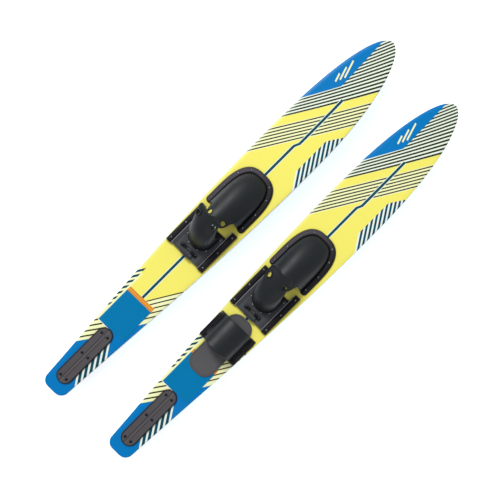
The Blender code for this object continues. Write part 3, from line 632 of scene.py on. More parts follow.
def grid_faces(rows, columns, closed_columns=False, closed_rows=False):
    faces = []
    for row in range(rows if closed_rows else rows - 1):
        for column in range(columns if closed_columns else columns - 1):
            beside = (column + 1) % columns
            above = (row + 1) % rows
            faces.append((row * columns + column, row * columns + beside,
                          above * columns + beside, above * columns + column))
    return faces


def tube(rings):
    """Vertices and faces of a solid through closed rings, with a cap at each end."""
    rings = np.asarray(rings)
    rows, columns = rings.shape[:2]
    faces = grid_faces(rows, columns, closed_columns=True)
    faces.append(tuple(range(columns))[::-1])
    faces.append(tuple((rows - 1) * columns + column for column in range(columns)))
    return rings.reshape(-1, 3), faces


def arc(first, last, steps):
    """Angles in radians from first to last degrees, both included."""
    return np.radians(np.linspace(first, last, steps + 1))


def circle(count):
    return np.linspace(0, 2 * math.pi, count, endpoint=False)


def share_of(value, start, end):
    """How far value has gone from start to end, from 0 to 1."""
    return min(1.0, max(0.0, (value - start) / (end - start)))


def eased(share):
    return share * share * (3 - 2 * share)


def spread(length, near, count):
    """Shares of a length from 0 to 1: the given distances from both ends, and even steps between."""
    ends = [distance / length for distance in near]
    between = np.linspace(ends[-1], 1 - ends[-1], count)[1:-1]
    return ends + list(between) + [1 - end for end in ends[::-1]]


def even_path(points, count):
    """Points evenly spaced along a line through the given ones."""
    points = np.asarray(points, float)
    steps = np.linalg.norm(np.diff(points, axis=0), axis=1)
    along = np.concatenate(((0,), np.cumsum(steps)))
    wanted = np.linspace(0, along[-1], count)
    return np.stack([np.interp(wanted, along, points[:, axis]) for axis in range(points.shape[1])], axis=1)


def shell_object(outer, half, surface):
    """A closed shell: a grid of outer points, and half its thickness at each point."""
    outer = np.array(outer)
    half = np.array(half)
    normal = np.cross(np.gradient(outer, axis=0), np.gradient(outer, axis=1))
    normal /= np.maximum(np.linalg.norm(normal, axis=2, keepdims=True), 1e-9)
    middle = outer - normal * half.max()
    rows, columns = outer.shape[:2]
    up = middle + normal * half[..., None]
    down = middle - normal * half[..., None]
    count = rows * columns
    faces = grid_faces(rows, columns)
    faces += [tuple(i + count for i in face)[::-1] for face in faces]
    grid = np.arange(count).reshape(rows, columns)
    border = [*grid[0], *grid[1:, -1], *grid[-1, -2::-1], *grid[-2:0:-1, 0]]
    faces += [(a, b, b + count, a + count) for a, b in zip(border, border[1:] + border[:1])]
    return mesh_object(np.concatenate((up.reshape(-1, 3), down.reshape(-1, 3))), faces, surface)


def sweep_object(path, profile, surface, round_end=0.0):
    """A closed profile of (offset to the right, height) swept along a level path of points.

    The path's ends are rounded off over round_end.
    """
    path = np.asarray(path, float)
    tangent = np.gradient(path, axis=0)
    tangent /= np.linalg.norm(tangent, axis=1, keepdims=True)
    right = np.stack((tangent[:, 1], -tangent[:, 0], np.zeros(len(path))), axis=1)
    stops = [(point, side, 1.0) for point, side in zip(path, right)]
    if round_end:
        for angle in arc(17.6, 88, 4):
            out, scale = round_end * math.sin(angle), math.cos(angle)
            stops.append((path[-1] + tangent[-1] * out, right[-1], scale))
            stops.insert(0, (path[0] - tangent[0] * out, right[0], scale))
    rings = [[point + side * offset * scale + (0, 0, height) for offset, height in profile]
             for point, side, scale in stops]
    return mesh_object(*tube(rings), surface)


def turned_object(profile, centre, surface, segments=24):
    """A turned body on a vertical axis from (radius, height) points, end to end on the axis."""
    rings = [[centre + np.array((radius * math.cos(a), radius * math.sin(a), height))
              for a in circle(segments)] for radius, height in profile]
    return mesh_object(*tube(rings), surface)


def block(one, other, surface, edge=0.0, segments=3):
    """A box between two opposite corners."""
    low, high = Vector(np.minimum(one, other)), Vector(np.maximum(one, other))
    bm = bmesh.new()
    matrix = Matrix.Translation((low + high) / 2) @ Matrix.Diagonal((*(high - low), 1))
    bmesh.ops.create_cube(bm, size=1, matrix=matrix)
    obj = object_from(bm, surface)
    return rounded_edges(obj, edge, segments) if edge else obj


UPRIGHT = Matrix.Identity(4)
ACROSS = Matrix.Rotation(math.pi / 2, 4, "Y")


def cylinder(centre, radius, depth, rotation=UPRIGHT, segments=32):
    """A loose cylinder with its middle at centre."""
    bm = bmesh.new()
    bmesh.ops.create_cone(bm, cap_ends=True, segments=segments, radius1=radius, radius2=radius,
                          depth=depth, matrix=Matrix.Translation(Vector(centre)) @ rotation)
    return object_from(bm)


def joined(objects):
    """One object from several that don't touch."""
    surface = objects[0].data.materials[0]
    bm = bmesh.new()
    for obj in objects:
        bm.from_mesh(obj.data)
        bpy.data.objects.remove(obj, do_unlink=True)
    for face in bm.faces:
        face.material_index = 0
    return object_from(bm, surface)


# The board


def half_width(station, length):
    t = station / length
    if t < WIDEST:
        wide = TAIL_WIDTH + (FULL_WIDTH - TAIL_WIDTH) * math.sin(math.pi * t / (2 * WIDEST)) ** 1.15
    else:
        run = (t - WIDEST) / (1 - WIDEST)
        wide = FULL_WIDTH * math.sqrt(max(0.0, 1 - run**2.4))
    half = wide * length / 2
    if station < TAIL_CORNER:
        half -= TAIL_CORNER - math.sqrt(TAIL_CORNER**2 - (TAIL_CORNER - station) ** 2)
    return half


def base_height(station, length):
    if station < KICK_END:
        return TAIL_KICK * (KICK_END - station) / KICK_END
    return TIP_RISE * share_of(station / length, TIP_START, 1.0) ** 2.2


def deck_height(station, length):
    if station < TAPER_END:
        thick = TAIL_THICKNESS + (CORE - TAIL_THICKNESS) * station / TAPER_END
    else:
        thick = CORE + (TIP_THICKNESS - CORE) * share_of(station / length, TIP_START, 1.0)
    return base_height(station, length) + thick


def tunnel(station):
    """How deep the tunnel in the base is."""
    return 0.003 * eased(min(share_of(station, 0.340, 0.400), share_of(station, 1.190, 1.130)))


def board_ring(ski, station):
    half = half_width(station, ski.length)
    low = base_height(station, ski.length)
    high = deck_height(station, ski.length)
    if station < EDGE:
        round_off = EDGE * (1 - math.sqrt(1 - (1 - station / EDGE) ** 2))
        low, high, half = low + round_off, high - round_off, half - round_off
    edge = min(EDGE, 0.35 * half, 0.4 * (high - low))
    fall = min(0.0012, 0.02 * half)
    hollow = tunnel(station)
    runner = 0.61
    right = [(share * half, low + hollow * eased(share_of(share, 0.60, 0.35)))
             for share in (0.0, 0.18, 0.34, 0.40, 0.46, 0.52, 0.57, runner)]
    right.append((0.5 * (runner * half + half - edge), low))
    right += [(half - edge + edge * math.sin(angle), low + edge - edge * math.cos(angle))
              for angle in arc(0, 90, 5)]
    right.append((half, low + edge + 0.3 * (high - fall - low - 2 * edge)))
    right += [(half - edge + edge * math.cos(angle), high - fall - edge + edge * math.sin(angle))
              for angle in arc(0, 90, 6)]
    right += [(half - edge - 0.0026 * step * min(1.0, half / 0.05), high - fall * (1 - step / 5) ** 2)
              for step in range(1, 6)]
    inner = right[-1][0]
    right += [(share * inner, high) for share in (0.6, 0.3, 0.0)]
    left = [(-x, z) for x, z in reversed(right[1:-1])]
    return [ski.place(x, station, z) for x, z in right + left]


def board(ski, materials):
    """The blank. Materials: deck print, side wall, running base and a darker band on the lower part of the
    side.
    """
    end = ski.length
    tail = [EDGE * (1 - math.cos(math.radians(a))) for a in (4, 20, 40, 60, 80)]
    corner = [EDGE + (TAIL_CORNER - EDGE) * (1 - math.cos(math.radians(a))) for a in range(10, 90, 8)]
    body = list(np.arange(0.040, end * TIP_START, 0.012))
    reach = end * (1 - TIP_START)
    tip = [end * TIP_START + reach * math.sin(math.radians(a)) for a in np.arange(1, 89.4, 1.1)]
    rings = [board_ring(ski, station) for station in tail + corner + body + tip]
    obj = mesh_object(*tube(rings), *materials)
    for face in obj.data.polygons:
        rise = face.normal.z
        station = face.center.y - ski.tail
        low = base_height(station, end)
        share = (face.center.z - ski.base - low) / (deck_height(station, end) - low)
        # Side faces in the lower part of the board's thickness take the darker side material.
        side = 3 if share < 0.38 else 1
        face.material_index = 0 if rise > 0.30 else 2 if rise < -0.8 else side
    smooth(obj, 60)
    ski.fit(obj, "ski_board", "board", "ski")


def traction_pad(ski, surface):
    """A thin pad with a raised square grid."""
    low, high = ski.box("traction_pad")
    pitch, border = 0.0036, 0.0030
    groove, wall = 0.0005, 0.0010

    def lines(start, end):
        """Places across the grid, each with whether the pad is at full height there."""
        count = int((end - start - 2 * border) / pitch)
        first = (start + end - count * pitch) / 2
        places = [(start, True), (first - 0.0006, True)]
        for number in range(count):
            cell = first + number * pitch
            places += [(cell + groove, False), (cell + wall, True),
                       (cell + pitch - wall, True), (cell + pitch - groove, False)]
        return places + [(first + count * pitch + 0.0006, True), (end, True)]

    rings = []
    for station, row_up in lines(low.y, high.y):
        deck = deck_height(station, ski.length) + GAP
        ring = [ski.place(x, station, deck + PAD_THICKNESS * (1.0 if up and row_up else 0.45))
                for x, up in lines(-high.x, high.x)]
        rings.append(ring + ski.across((high.x, -high.x), station, deck))
    obj = mesh_object(*tube(rings), surface)
    ski.fit(obj, "grip_pad", "traction_pad", "traction_pad")


# Screws


def screw_head(centre, radius, height, surface, shank=0.004):
    """A domed head with a cross recess, its seat at centre, over a short shank."""
    profile = [(1e-6, -shank), (radius * 0.5, -shank), (radius * 0.5, 0), (radius * 0.96, 0),
               (radius, height * 0.25)]
    profile += [(radius * (0.25 + 0.75 * math.cos(angle)), height * (0.25 + 0.75 * math.sin(angle)))
                for angle in arc(15, 90, 5)]
    profile.append((1e-6, height))
    head = turned_object(profile, centre, surface)
    reach, thick, deep = radius * 0.62, radius * 0.11, height * 0.55
    top = centre + np.array((0, 0, height))
    for wide, tall in ((reach, thick), (thick, reach)):
        cut(head, block(top - (wide, tall, deep), top + (wide, tall, deep), surface))
    return head


def sink_screws(ski, obj, spots, top, metal, node, deep=0.0016):
    """Sinks screws into a piece, with their seats deep below its top, and fits their heads."""
    heads = []
    for x, station in spots:
        cut(obj, cylinder(ski.place(x, station, top), 0.0042, 2 * (deep + 0.0002)))
        cut(obj, cylinder(ski.place(x, station, top), 0.0025, 0.03))
        heads.append(screw_head(ski.place(x, station, top - deep), 0.0031, deep - 0.0002, metal))
    ski.fit(joined(heads), f"{node}_screw_heads", "steel", f"{node}_screws")


# The fin and its plate


def stadium(half, start, end, inset):
    """A long oval outline at an inset, as (x, station)."""
    radius = max(half - inset, 0.0)
    return [(radius * math.cos(angle), centre + radius * math.sin(angle))
            for centre, first in ((start + half, 180), (end - half, 0))
            for angle in arc(first, first + 180, 14)]


def fin_plate(ski, surface):
    low, high = ski.box("fin_top_plate")
    edge = 0.0016
    insets = [0, 0.0003, 0.0008, edge, 0.0022, 0.0030, 0.0038, 0.0050, 0.0075, 0.0110, 0.0150,
              0.0190, 0.0220, 0.0243, 0.0252, 0.0262, 0.0272, 0.0282, 0.0295, 0.03]
    middle = (low.y + high.y) / 2
    floor = deck_height(middle, ski.length) + GAP
    slope = (deck_height(middle + 0.1, ski.length) - deck_height(middle - 0.1, ski.length)) / 0.2

    def height(inset):
        """A rolled edge, a flat a little below it, and a ridge down the middle."""
        if inset < edge:
            return PLATE_THICKNESS - edge + math.sqrt(edge**2 - (edge - inset) ** 2)
        drop = 0.0009 * share_of(inset, 0.0030, 0.0042)
        return PLATE_THICKNESS - drop + 0.0022 * share_of(high.x - inset, 0.0058, 0.0042)

    rings = [[ski.place(x, station, floor + slope * (station - middle) + height(inset))
              for x, station in stadium(high.x, low.y, high.y, inset)] for inset in insets]
    bottom = [place - (0, 0, height(0)) for place in rings[0]]
    obj = mesh_object(*tube([bottom] + rings), surface)
    for x, station in FIN_SPOTS:
        top = ski.place(x, station, deck_height(station, ski.length) + PLATE_THICKNESS)
        cut(obj, cylinder(top, 0.0052, 0.0044))
        cut(obj, cylinder(top, 0.0026, 0.04))
    ski.fit(obj, "fin_cover", "fin_plate", "fin_top_plate")


def fin_screws(ski, surface):
    for number, (x, station) in enumerate(FIN_SPOTS, 1):
        seat = deck_height(station, ski.length) + 0.0032
        head = screw_head(ski.place(x, station, seat), 0.0042, 0.0022, surface, 0.012)
        ski.fit(head, f"fin_screw_head_{number}", "steel", f"fin_screw_{number}")


def fin(ski, surface):
    """The keel: the frame's shape with softened edges."""
    bm = bmesh.new()
    bm.from_mesh(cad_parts[f"{ski.name}_fin"].data)
    bmesh.ops.remove_doubles(bm, verts=bm.verts[:], dist=1e-5)
    bmesh.ops.dissolve_limit(bm, angle_limit=math.radians(2), verts=bm.verts[:], edges=bm.edges[:])
    obj = object_from(bm, surface)
    rounded_edges(obj, 0.0009, 3, 30)
    ski.fit(obj, "tail_fin", "fin", "fin")


# Toe piece


def horseshoe(turn):
    """A point on the toe frame's centre line: turn runs from -1 to 1, left end to right end."""
    arc_share = 0.86
    if abs(turn) > arc_share:
        share = (abs(turn) - arc_share) / (1 - arc_share)
        return math.copysign(TOE_HALF_WIDTH, turn), TOE_CENTRE + (TOE_REAR - TOE_CENTRE) * share
    angle = turn / arc_share * math.pi / 2
    power = 2 / TOE_POWER
    x = math.copysign(TOE_HALF_WIDTH * abs(math.sin(angle)) ** power, turn)
    return x, TOE_CENTRE + TOE_REACH * math.cos(angle) ** power


def toe_path(ski, z, count):
    return even_path(ski.places([horseshoe(turn) for turn in np.linspace(-1, 1, 400)], z), count)


def toe_frame(ski, surface, bright):
    half = FRAME_WIDTH / 2
    top = FRAME_HEIGHT - FLANGE
    # The outer edge is on the left of the path: rounded shoulder, flat band, sloping inner edge.
    profile = [(-half, 0), (-half, top - 0.0028), (-half + 0.0005, top - 0.0014),
               (-half + 0.0014, top - 0.0005), (-half + 0.0027, top), (-half + 0.0036, top),
               (-half + 0.0042, top - 0.0007), (half - 0.0072, top - 0.0007), (half - 0.0066, top),
               (half - 0.0052, top), (half - 0.0036, top - 0.0006), (half - 0.0018, top - 0.0020),
               (half, top - 0.0040), (half, 0)]
    low = CORE + GAP * 3 + FLANGE
    obj = sweep_object(toe_path(ski, low, 120), profile, surface, half)
    spots = [horseshoe(turn) for turn in (-0.97, -0.80, -0.55, -0.24, 0.24, 0.55, 0.80, 0.97)]
    sink_screws(ski, obj, spots, low + top, bright, "toe_frame", 0.0018)
    ski.fit(obj, "toe_clamp_frame", "frame_plastic", "toe_frame")


def toe_arch(station, angle):
    """A point of the toe dome: angle runs from -90 to 90 degrees, left foot to right foot."""
    run = share_of(station, TOE_CENTRE, TOE_DOME_FRONT)
    wide = TOE_DOME_HALF_WIDTH * (1 - run**TOE_POWER) ** (1 / TOE_POWER)
    along = share_of(station, 0.835, TOE_DOME_FRONT)
    crown = TOE_HEIGHT + (TOE_TIP_HEIGHT - TOE_HEIGHT) * along**1.1
    high = crown * (1 - run**3.2) ** 0.45
    z = 0.7 * FLANGE + high * max(0.0, math.cos(angle)) ** 0.95
    return wide * math.sin(angle), station, CORE + GAP + z


def toe_rear_edge(angle):
    """The station of the toe dome's rear edge: a tongue with a shallow dip between its tabs."""
    degrees = abs(math.degrees(angle))
    tongue = math.exp(-((degrees / TONGUE_ANGLE) ** 8))
    return 0.853 - TONGUE_REACH * tongue + 0.012 * math.exp(-((degrees / 12) ** 2))


def lip(distance):
    """Half the rubber's thickness at a distance from its free edge, which has a bead."""
    radius = RUBBER / 2
    bead = 1 + 0.45 * math.exp(-(((distance - 0.0026) / 0.0017) ** 2))
    if distance >= radius:
        return radius * bead
    return radius * bead * math.sqrt(max(0.0, 1 - (1 - distance / radius) ** 2)) + 1e-5


def ring(centre, normal, radius, thick, surface):
    """A raised ring round a hole, facing along normal."""
    rows, columns = 40, 12
    first = normal.orthogonal().normalized()
    second = normal.cross(first)
    verts = []
    for a in circle(rows):
        out = first * math.cos(a) + second * math.sin(a)
        verts += [Vector(centre) + out * (radius + thick * math.cos(b)) + normal * thick * math.sin(b)
                  for b in circle(columns)]
    return mesh_object(verts, grid_faces(rows, columns, True, True), surface)


def finger_holes(obj, point, surface):
    """Cuts both finger holes, each with a raised rim.

    Point gives a place of the outer surface from a side's sign and steps along and across.
    """
    for sign in (-1, 1):
        centre = point(sign, 0, 0)
        along = point(sign, 1, 0) - point(sign, -1, 0)
        across = point(sign, 0, 1) - point(sign, 0, -1)
        normal = Vector(np.cross(along, across)).normalized()
        if normal.z < 0:
            normal.negate()
        turn = normal.to_track_quat("Z", "Y").to_matrix().to_4x4()
        rim = centre - np.array(normal) * 0.0002
        add(obj, ring(rim, normal, FINGER_HOLE + 0.0026, 0.0023, surface))
        cut(obj, cylinder(centre, FINGER_HOLE, 0.03, turn, 40))


def toe_boot(ski, surface):
    angles = arc(-90, 90, 90)
    steps = [(distance, 0.0) for distance in LIP_STEPS]
    steps += [(LIP_STEPS[-1], math.sin(share * math.pi / 2) ** 1.05) for share in np.linspace(0.03, 1, 46)]
    outer = []
    half = []
    for distance, share in steps:
        row = []
        for angle in angles:
            edge = toe_rear_edge(angle) + distance
            row.append(ski.place(*toe_arch(edge + (TOE_DOME_FRONT - edge) * share, angle)))
        outer.append(row)
        half.append([RUBBER / 2 if share else lip(distance)] * len(angles))
    obj = shell_object(outer, half, surface)

    def point(sign, along, across):
        angle = math.radians(TAB_ANGLE + 2 * across) * sign
        station = toe_rear_edge(math.radians(TAB_ANGLE)) + 0.020 + 0.002 * along
        return ski.place(*toe_arch(station, angle))

    finger_holes(obj, point, surface)
    left, right = FRAME_WIDTH / 2 + 0.003, FRAME_WIDTH / 2 + 0.008
    profile = [(-left, 0), (-left, FLANGE - 0.0008), (-left + 0.0008, FLANGE), (right, FLANGE), (right, 0)]
    add(obj, sweep_object(toe_path(ski, CORE + GAP, 90), profile, surface, left))
    ski.fit(obj, "toe_upper", "boot_rubber", "toe_boot")


# Heel carriage


def rail(ski, hand, sign, surface, bright):
    low, high = ski.box(f"{hand}_rail")
    outer = max(abs(low.x), abs(high.x))
    inner = min(abs(low.x), abs(high.x))
    bottom, top = low.z, high.z
    # Offsets run outwards from the ski's middle line.
    lip_low = CORE + SLIDER_HIGH + 2 * GAP
    profile = [(RAIL_WALL, bottom), (RAIL_WALL, lip_low), (inner, lip_low), (inner, top - 0.0006),
               (inner + 0.0004, top - 0.0001), (inner + 0.0008, top), (inner + 0.0017, top),
               (inner + 0.0024, top - 0.0014), (inner + 0.0046, top - 0.0014), (inner + 0.0054, top),
               (outer - 0.0034, top), (outer - 0.0014, top - 0.0006), (outer - 0.0004, top - 0.0016),
               (outer, top - 0.0030), (outer, bottom)]
    profile = [(sign * offset, height) for offset, height in profile]
    path = ski.places([(0, station) for station in np.linspace(low.y, high.y, 40)], 0)
    obj = sweep_object(path, profile, surface)
    rounded_edges(obj, 0.0005, 2, 50)
    spots = [(sign * (RAIL_WALL + outer) / 2, station) for station in RAIL_SCREWS]
    sink_screws(ski, obj, spots, top, bright, f"{hand}_rail")
    ski.fit(obj, f"{hand}_rail_body", "frame_plastic", f"{hand}_rail")


def collar_level(turn):
    """How high the hood reaches at a turn, as a share of its height: two ears, lower sides."""
    turn = abs(turn)
    if turn < EAR_TURN:
        return 1 - 0.045 * math.cos(math.pi / 2 * turn / EAR_TURN) ** 2
    return 1 - 0.19 * (1 - math.cos(math.pi * share_of(turn, EAR_TURN, EAR_TURN + 0.42)))


def heel_wall(ski, level, turn):
    """A point of the heel hood, as (x, station, height above its foot).

    Level runs from 0 at the foot to 1 at the collar, and turn from -1 to 1, round the heel
    from the left side's front edge to the right side's.
    """
    level *= collar_level(turn)
    back = HEEL_REAR + REACH[ski.name] * level**2.2 - 0.004 * math.sin(math.pi * level)
    back_height = LIFT[ski.name] * math.sin(0.465 * math.pi * level) / math.sin(0.465 * math.pi)
    front = HEEL_FRONT + 0.034 * level**3 - 0.026 * math.sin(math.pi * level)
    half = HEEL_HALF_WIDTH - 0.002 * level**2
    depth = 0.52 + 0.38 * level
    bend = 0.62
    if abs(turn) > bend:
        x = math.copysign(half, turn)
        share = depth + (1 - depth) * (abs(turn) - bend) / (1 - bend)
    else:
        angle = turn / bend * math.pi / 2
        x = half * math.sin(angle)
        share = depth * (1 - math.cos(angle))
    station = back + (front - back) * share
    height = back_height + (HEEL_SIDE_HEIGHT * level - back_height) * share
    flare = EAR_FLARE * level**4 * math.exp(-(((abs(turn) - 0.42) / 0.16) ** 2))
    return x + math.copysign(flare, turn) - SWAY[ski.name] * level**4.5, station, height


def heel_boot(ski, surface):
    foot = CORE + SLIDER_HIGH + GAP
    tall, long = 0.150, 0.130
    levels = list(np.linspace(0, 1 - LIP_STEPS[-1] / tall, 50))
    levels += [1 - distance / tall for distance in LIP_STEPS[-2::-1]]
    turns = [1 - 2 * share for share in spread(2 * long, LIP_STEPS, 84)]

    def spot(level, turn):
        x, station, z = heel_wall(ski, level, turn)
        return ski.place(x, station, foot + FLANGE / 2 + z)

    outer = [[spot(level, turn) for turn in turns] for level in levels]
    half = [[lip(min((1 - level) * tall, (1 - abs(turn)) * long)) for turn in turns] for level in levels]
    obj = shell_object(outer, half, surface)

    def point(sign, along, across):
        return spot(EAR_HOLE_LEVEL + 0.01 * along, (EAR_TURN + 0.01 * across) * sign)

    finger_holes(obj, point, surface)
    reach = HEEL_HALF_WIDTH + 0.0025
    centre = HEEL_REAR - 0.0025 + reach
    points = [(reach * math.cos(angle), centre + reach * math.sin(angle)) for angle in arc(180, 360, 24)]
    points = [(-reach, HEEL_FRONT - 0.006), *points, (reach, HEEL_FRONT - 0.006)]
    profile = [(-0.0085, 0), (-0.0085, FLANGE), (0.0085, FLANGE), (0.0085, 0)]
    add(obj, sweep_object(even_path(ski.places(points, foot), 70), profile, surface))
    ski.fit(obj, "heel_hood", "boot_rubber", "heel_boot", "heel_carriage")


def rivet_spots():
    back = HEEL_REAR + HEEL_HALF_WIDTH
    spread_out = HEEL_HALF_WIDTH + 0.006
    spots = [(spread_out * math.sin(angle), back - spread_out * math.cos(angle))
             for angle in np.radians((-55, -22, 22, 55))]
    return spots + [(-spread_out, 0.782), (spread_out, 0.782)]


def heel_plate(ski, surface):
    low, high = ski.box("heel_top_plate")
    top = CORE + PLATE_TOP
    pivot = CORE + PIVOT_HEIGHT
    inner = HEEL_HALF_WIDTH + 0.001
    centre = HEEL_REAR - 0.005 + inner
    outline = [(-high.x, low.y), (high.x, low.y), (high.x, high.y), (inner, high.y)]
    outline += [(inner * math.cos(angle), centre + inner * math.sin(angle)) for angle in arc(0, -180, 24)]
    outline += [(-inner, high.y), (-high.x, high.y)]
    obj = mesh_object(*tube([ski.places(outline, low.z), ski.places(outline, top)]), surface)
    rounded_edges(obj, 0.0007, 2, 50)
    for sign in (-1, 1):
        add(obj, block(ski.place(sign * 0.0240, PIVOT - 0.0055, top - 0.001),
                       ski.place(sign * 0.0300, PIVOT + 0.0055, pivot + 0.0045), surface, 0.0016))
    # The window that the lever's tooth drops through, and the hinge pin's bore
    cut(obj, block(ski.place(-0.010, PIVOT - 0.0165, low.z - 0.01),
                   ski.place(0.010, PIVOT - 0.0035, top + 0.0002), surface))
    cut(obj, cylinder(ski.place(0, PIVOT, pivot), 0.0020, 0.1, ACROSS))
    for sign in (-1, 1):
        for number in range(3):
            x = sign * (high.x - 0.0030 - 0.0038 * number)
            add(obj, block(ski.place(x - 0.0007, low.y + 0.004, top - 0.0004),
                           ski.place(x + 0.0007, high.y - 0.004, top + 0.0008), surface, 0.0004, 2))
    for x, station in rivet_spots():
        cut(obj, cylinder(ski.place(x, station, top), 0.0022, 0.03))
    ski.fit(obj, "heel_cover_plate", "heel_plate", "heel_top_plate", "heel_carriage")


def rivets(ski, surface):
    profile = [(1e-6, -0.006), (0.0018, -0.006), (0.0018, 0), (0.0030, 0)]
    profile += [(max(0.0030 * math.cos(angle), 1e-6), 0.0016 * math.sin(angle)) for angle in arc(15, 90, 5)]
    heads = [turned_object(profile, place, surface, 20)
             for place in ski.places(rivet_spots(), CORE + PLATE_TOP + GAP)]
    ski.fit(joined(heads), "heel_rivet_heads", "steel", "heel_rivets", "heel_carriage")


def lever(ski, surface):
    pivot = ski.place(0, PIVOT, CORE + PIVOT_HEIGHT)
    half = 0.0230
    obj = block(pivot + (-half, -0.0260, -0.0020), pivot + (half, 0.0010, 0.0012), surface, 0.0010)
    add(obj, cylinder(pivot, 0.0036, 2 * half, ACROSS))
    add(obj, block(pivot + (-0.006, -0.0095, 0.0006 - PIVOT_HEIGHT), pivot + (0.006, -0.0055, -0.001),
                   surface, 0.0006))
    for y in (-0.0262, -0.0226, -0.0190):
        add(obj, block(pivot + (-0.019, y - 0.0009, -0.0005), pivot + (0.019, y + 0.0009, 0.0026),
                       surface, 0.0006))
    # Room for the spring, and the pin's bore
    cut(obj, block(pivot + (-0.0065, -0.0050, -0.006), pivot + (0.0065, 0.006, 0.006), surface))
    cut(obj, cylinder(pivot, 0.0021, 0.1, ACROSS))
    ski.fit(obj, "lock_lever_paddle", "lever_plastic", "lock_lever", "lever")


def pin_and_spring(ski, surface):
    pivot = ski.place(0, PIVOT, CORE + PIVOT_HEIGHT)
    pin = cylinder(pivot, 0.0018, 0.0620, ACROSS)
    for end in (-0.0308, 0.0308):
        add(pin, cylinder(pivot + (end, 0, 0), 0.0030, 0.0012, ACROSS))
    pin.data.materials.append(surface)
    rounded_edges(pin, 0.0003, 2, 40)
    ski.fit(pin, "lever_pin", "steel", "lock_pin", "heel_carriage")
    turns, reach, radius = 7, 0.0050, 0.0030
    points = []
    for share in np.linspace(0, 1, turns * 24 + 1):
        angle = 2 * math.pi * turns * share
        x = -reach + 2 * reach * share
        points.append(pivot + (x, radius * math.cos(angle), radius * math.sin(angle)))
    ski.fit(wire_object(points, 0.00048, surface), "lever_spring", "steel", "lock_spring", "heel_carriage")


def wire_object(points, radius, surface):
    tangent = np.gradient(np.array(points), axis=0)
    tangent /= np.linalg.norm(tangent, axis=1, keepdims=True)
    first = np.cross(tangent, np.array((1.0, 0, 0)))
    first /= np.linalg.norm(first, axis=1, keepdims=True)
    second = np.cross(tangent, first)
    rings = [[point + radius * (a * math.cos(t) + b * math.sin(t)) for t in circle(8)]
             for point, a, b in zip(points, first, second)]
    return mesh_object(*tube(rings), surface)


# Rear toe piece


def rounded_outline(half, start, end, radius, inset):
    """A rectangle with round corners at an inset, as (x, station)."""
    radius = radius - inset
    points = []
    for sign, centre, first in ((1, start + inset + radius, -90), (1, end - inset - radius, 0),
                                (-1, end - inset - radius, 90), (-1, start + inset + radius, 180)):
        middle = sign * (half - inset - radius)
        points += [(middle + radius * math.cos(angle), centre + radius * math.sin(angle))
                   for angle in arc(first, first + 90, 12)]
    return points


def rear_pad(ski, surface):
    low, high = ski.box("rear_foot_pad")
    thick = high.z - low.z
    edge = 0.0022
    levels = [(0.0004, 0), (0, 0.0006)]
    levels += [(edge * (1 - math.cos(angle)), thick - edge * (1 - math.sin(angle)))
               for angle in arc(0, 90, 6)]
    levels += [(0.0050, thick), (0.0056, thick - 0.0007), (0.0066, thick - 0.0007), (0.0072, thick)]
    rings = [ski.places(rounded_outline(high.x, low.y, high.y, REAR_PAD_CORNER, inset), low.z + z)
             for inset, z in levels]
    obj = mesh_object(*tube(rings), surface)
    # Room for the end of the traction pad
    cut(obj, block(ski.place(-PAD_HALF_WIDTH, 0.380, CORE - 0.001),
                   ski.place(PAD_HALF_WIDTH, PAD_END, CORE + PAD_THICKNESS + 2 * GAP), surface))
    ski.fit(obj, "rear_sole_pad", "foot_pad", "rear_foot_pad")


def rear_arch(station, angle):
    run = (station - CLAMP_START) / (CLAMP_END - CLAMP_START)
    high = 0.060 - 0.014 * run
    wide = CLAMP_INNER - 0.0006
    sine = math.sin(angle)
    x = math.copysign(wide * abs(sine) ** 0.9, sine)
    z = high * max(0.0, math.cos(angle)) ** 0.8
    return x, station, CORE + GAP + FLANGE / 2 + z


def rear_strap(ski, surface):
    length = STRAP_END - CLAMP_START
    angles = arc(-90, 90, 60)
    outer = []
    half = []
    for share in spread(length, (0.0, 0.0002, 0.0006, 0.0012, 0.0020, 0.0035), 30):
        row = []
        for angle in angles:
            rear = CLAMP_START + 0.008 - 0.013 * math.cos(angle)
            row.append(ski.place(*rear_arch(rear + (STRAP_END - rear) * share, angle)))
        outer.append(row)
        half.append([lip(min(share, 1 - share) * length)] * len(angles))
    obj = shell_object(outer, half, surface)
    reach = ski.box("rear_strap")[1].x
    for sign in (-1, 1):
        add(obj, block(ski.place(sign * (CLAMP_INNER - 0.004), CLAMP_START, CORE + GAP),
                       ski.place(sign * reach, STRAP_END, CORE + GAP + FLANGE), surface, 0.0008, 2))
    ski.fit(obj, "rear_arch_strap", "boot_rubber", "rear_strap")


def rear_clamp(ski, hand, surface, bright):
    low, high = ski.box(f"rear_{hand}_clamp")
    obj = rounded_edges(block(ski.place(*low), ski.place(*high), surface), 0.0030, 4, 50)
    middle = (low.x + high.x) / 2
    cut(obj, block(ski.place(middle - 0.0085, low.y + 0.020, high.z - 0.0014),
                   ski.place(middle + 0.0085, high.y - 0.020, high.z + 0.002), surface, 0.0012, 2))
    spots = [(middle, station) for station in CLAMP_SCREWS]
    sink_screws(ski, obj, spots, high.z, bright, f"rear_{hand}_clamp")
    ski.fit(obj, f"rear_{hand}_clamp_bar", "frame_plastic", f"rear_{hand}_clamp")


# Putting the pair together

BLACK = moulded("black_plastic", linear(26, 25, 28), 0.36, slope=0.9, shine=0.16)
SOFT = moulded("soft_rubber", linear(24, 29, 32), 0.42, 500.0, shine=0.28)
FOAM = moulded("pad_foam", linear(84, 84, 86), 0.80, 380.0, 0.0009)
BRIGHT = metal("stainless_steel", linear(140, 140, 144), 0.30)
DARK_STEEL = metal("dark_screw_steel", linear(50, 48, 50), 0.40)
WALL = edge_material("sidewall", linear(240, 241, 206))
DARKER_LOWER_SIDE = edge_material("darker_lower_side", linear(52, 54, 40))
BASE = base_material()

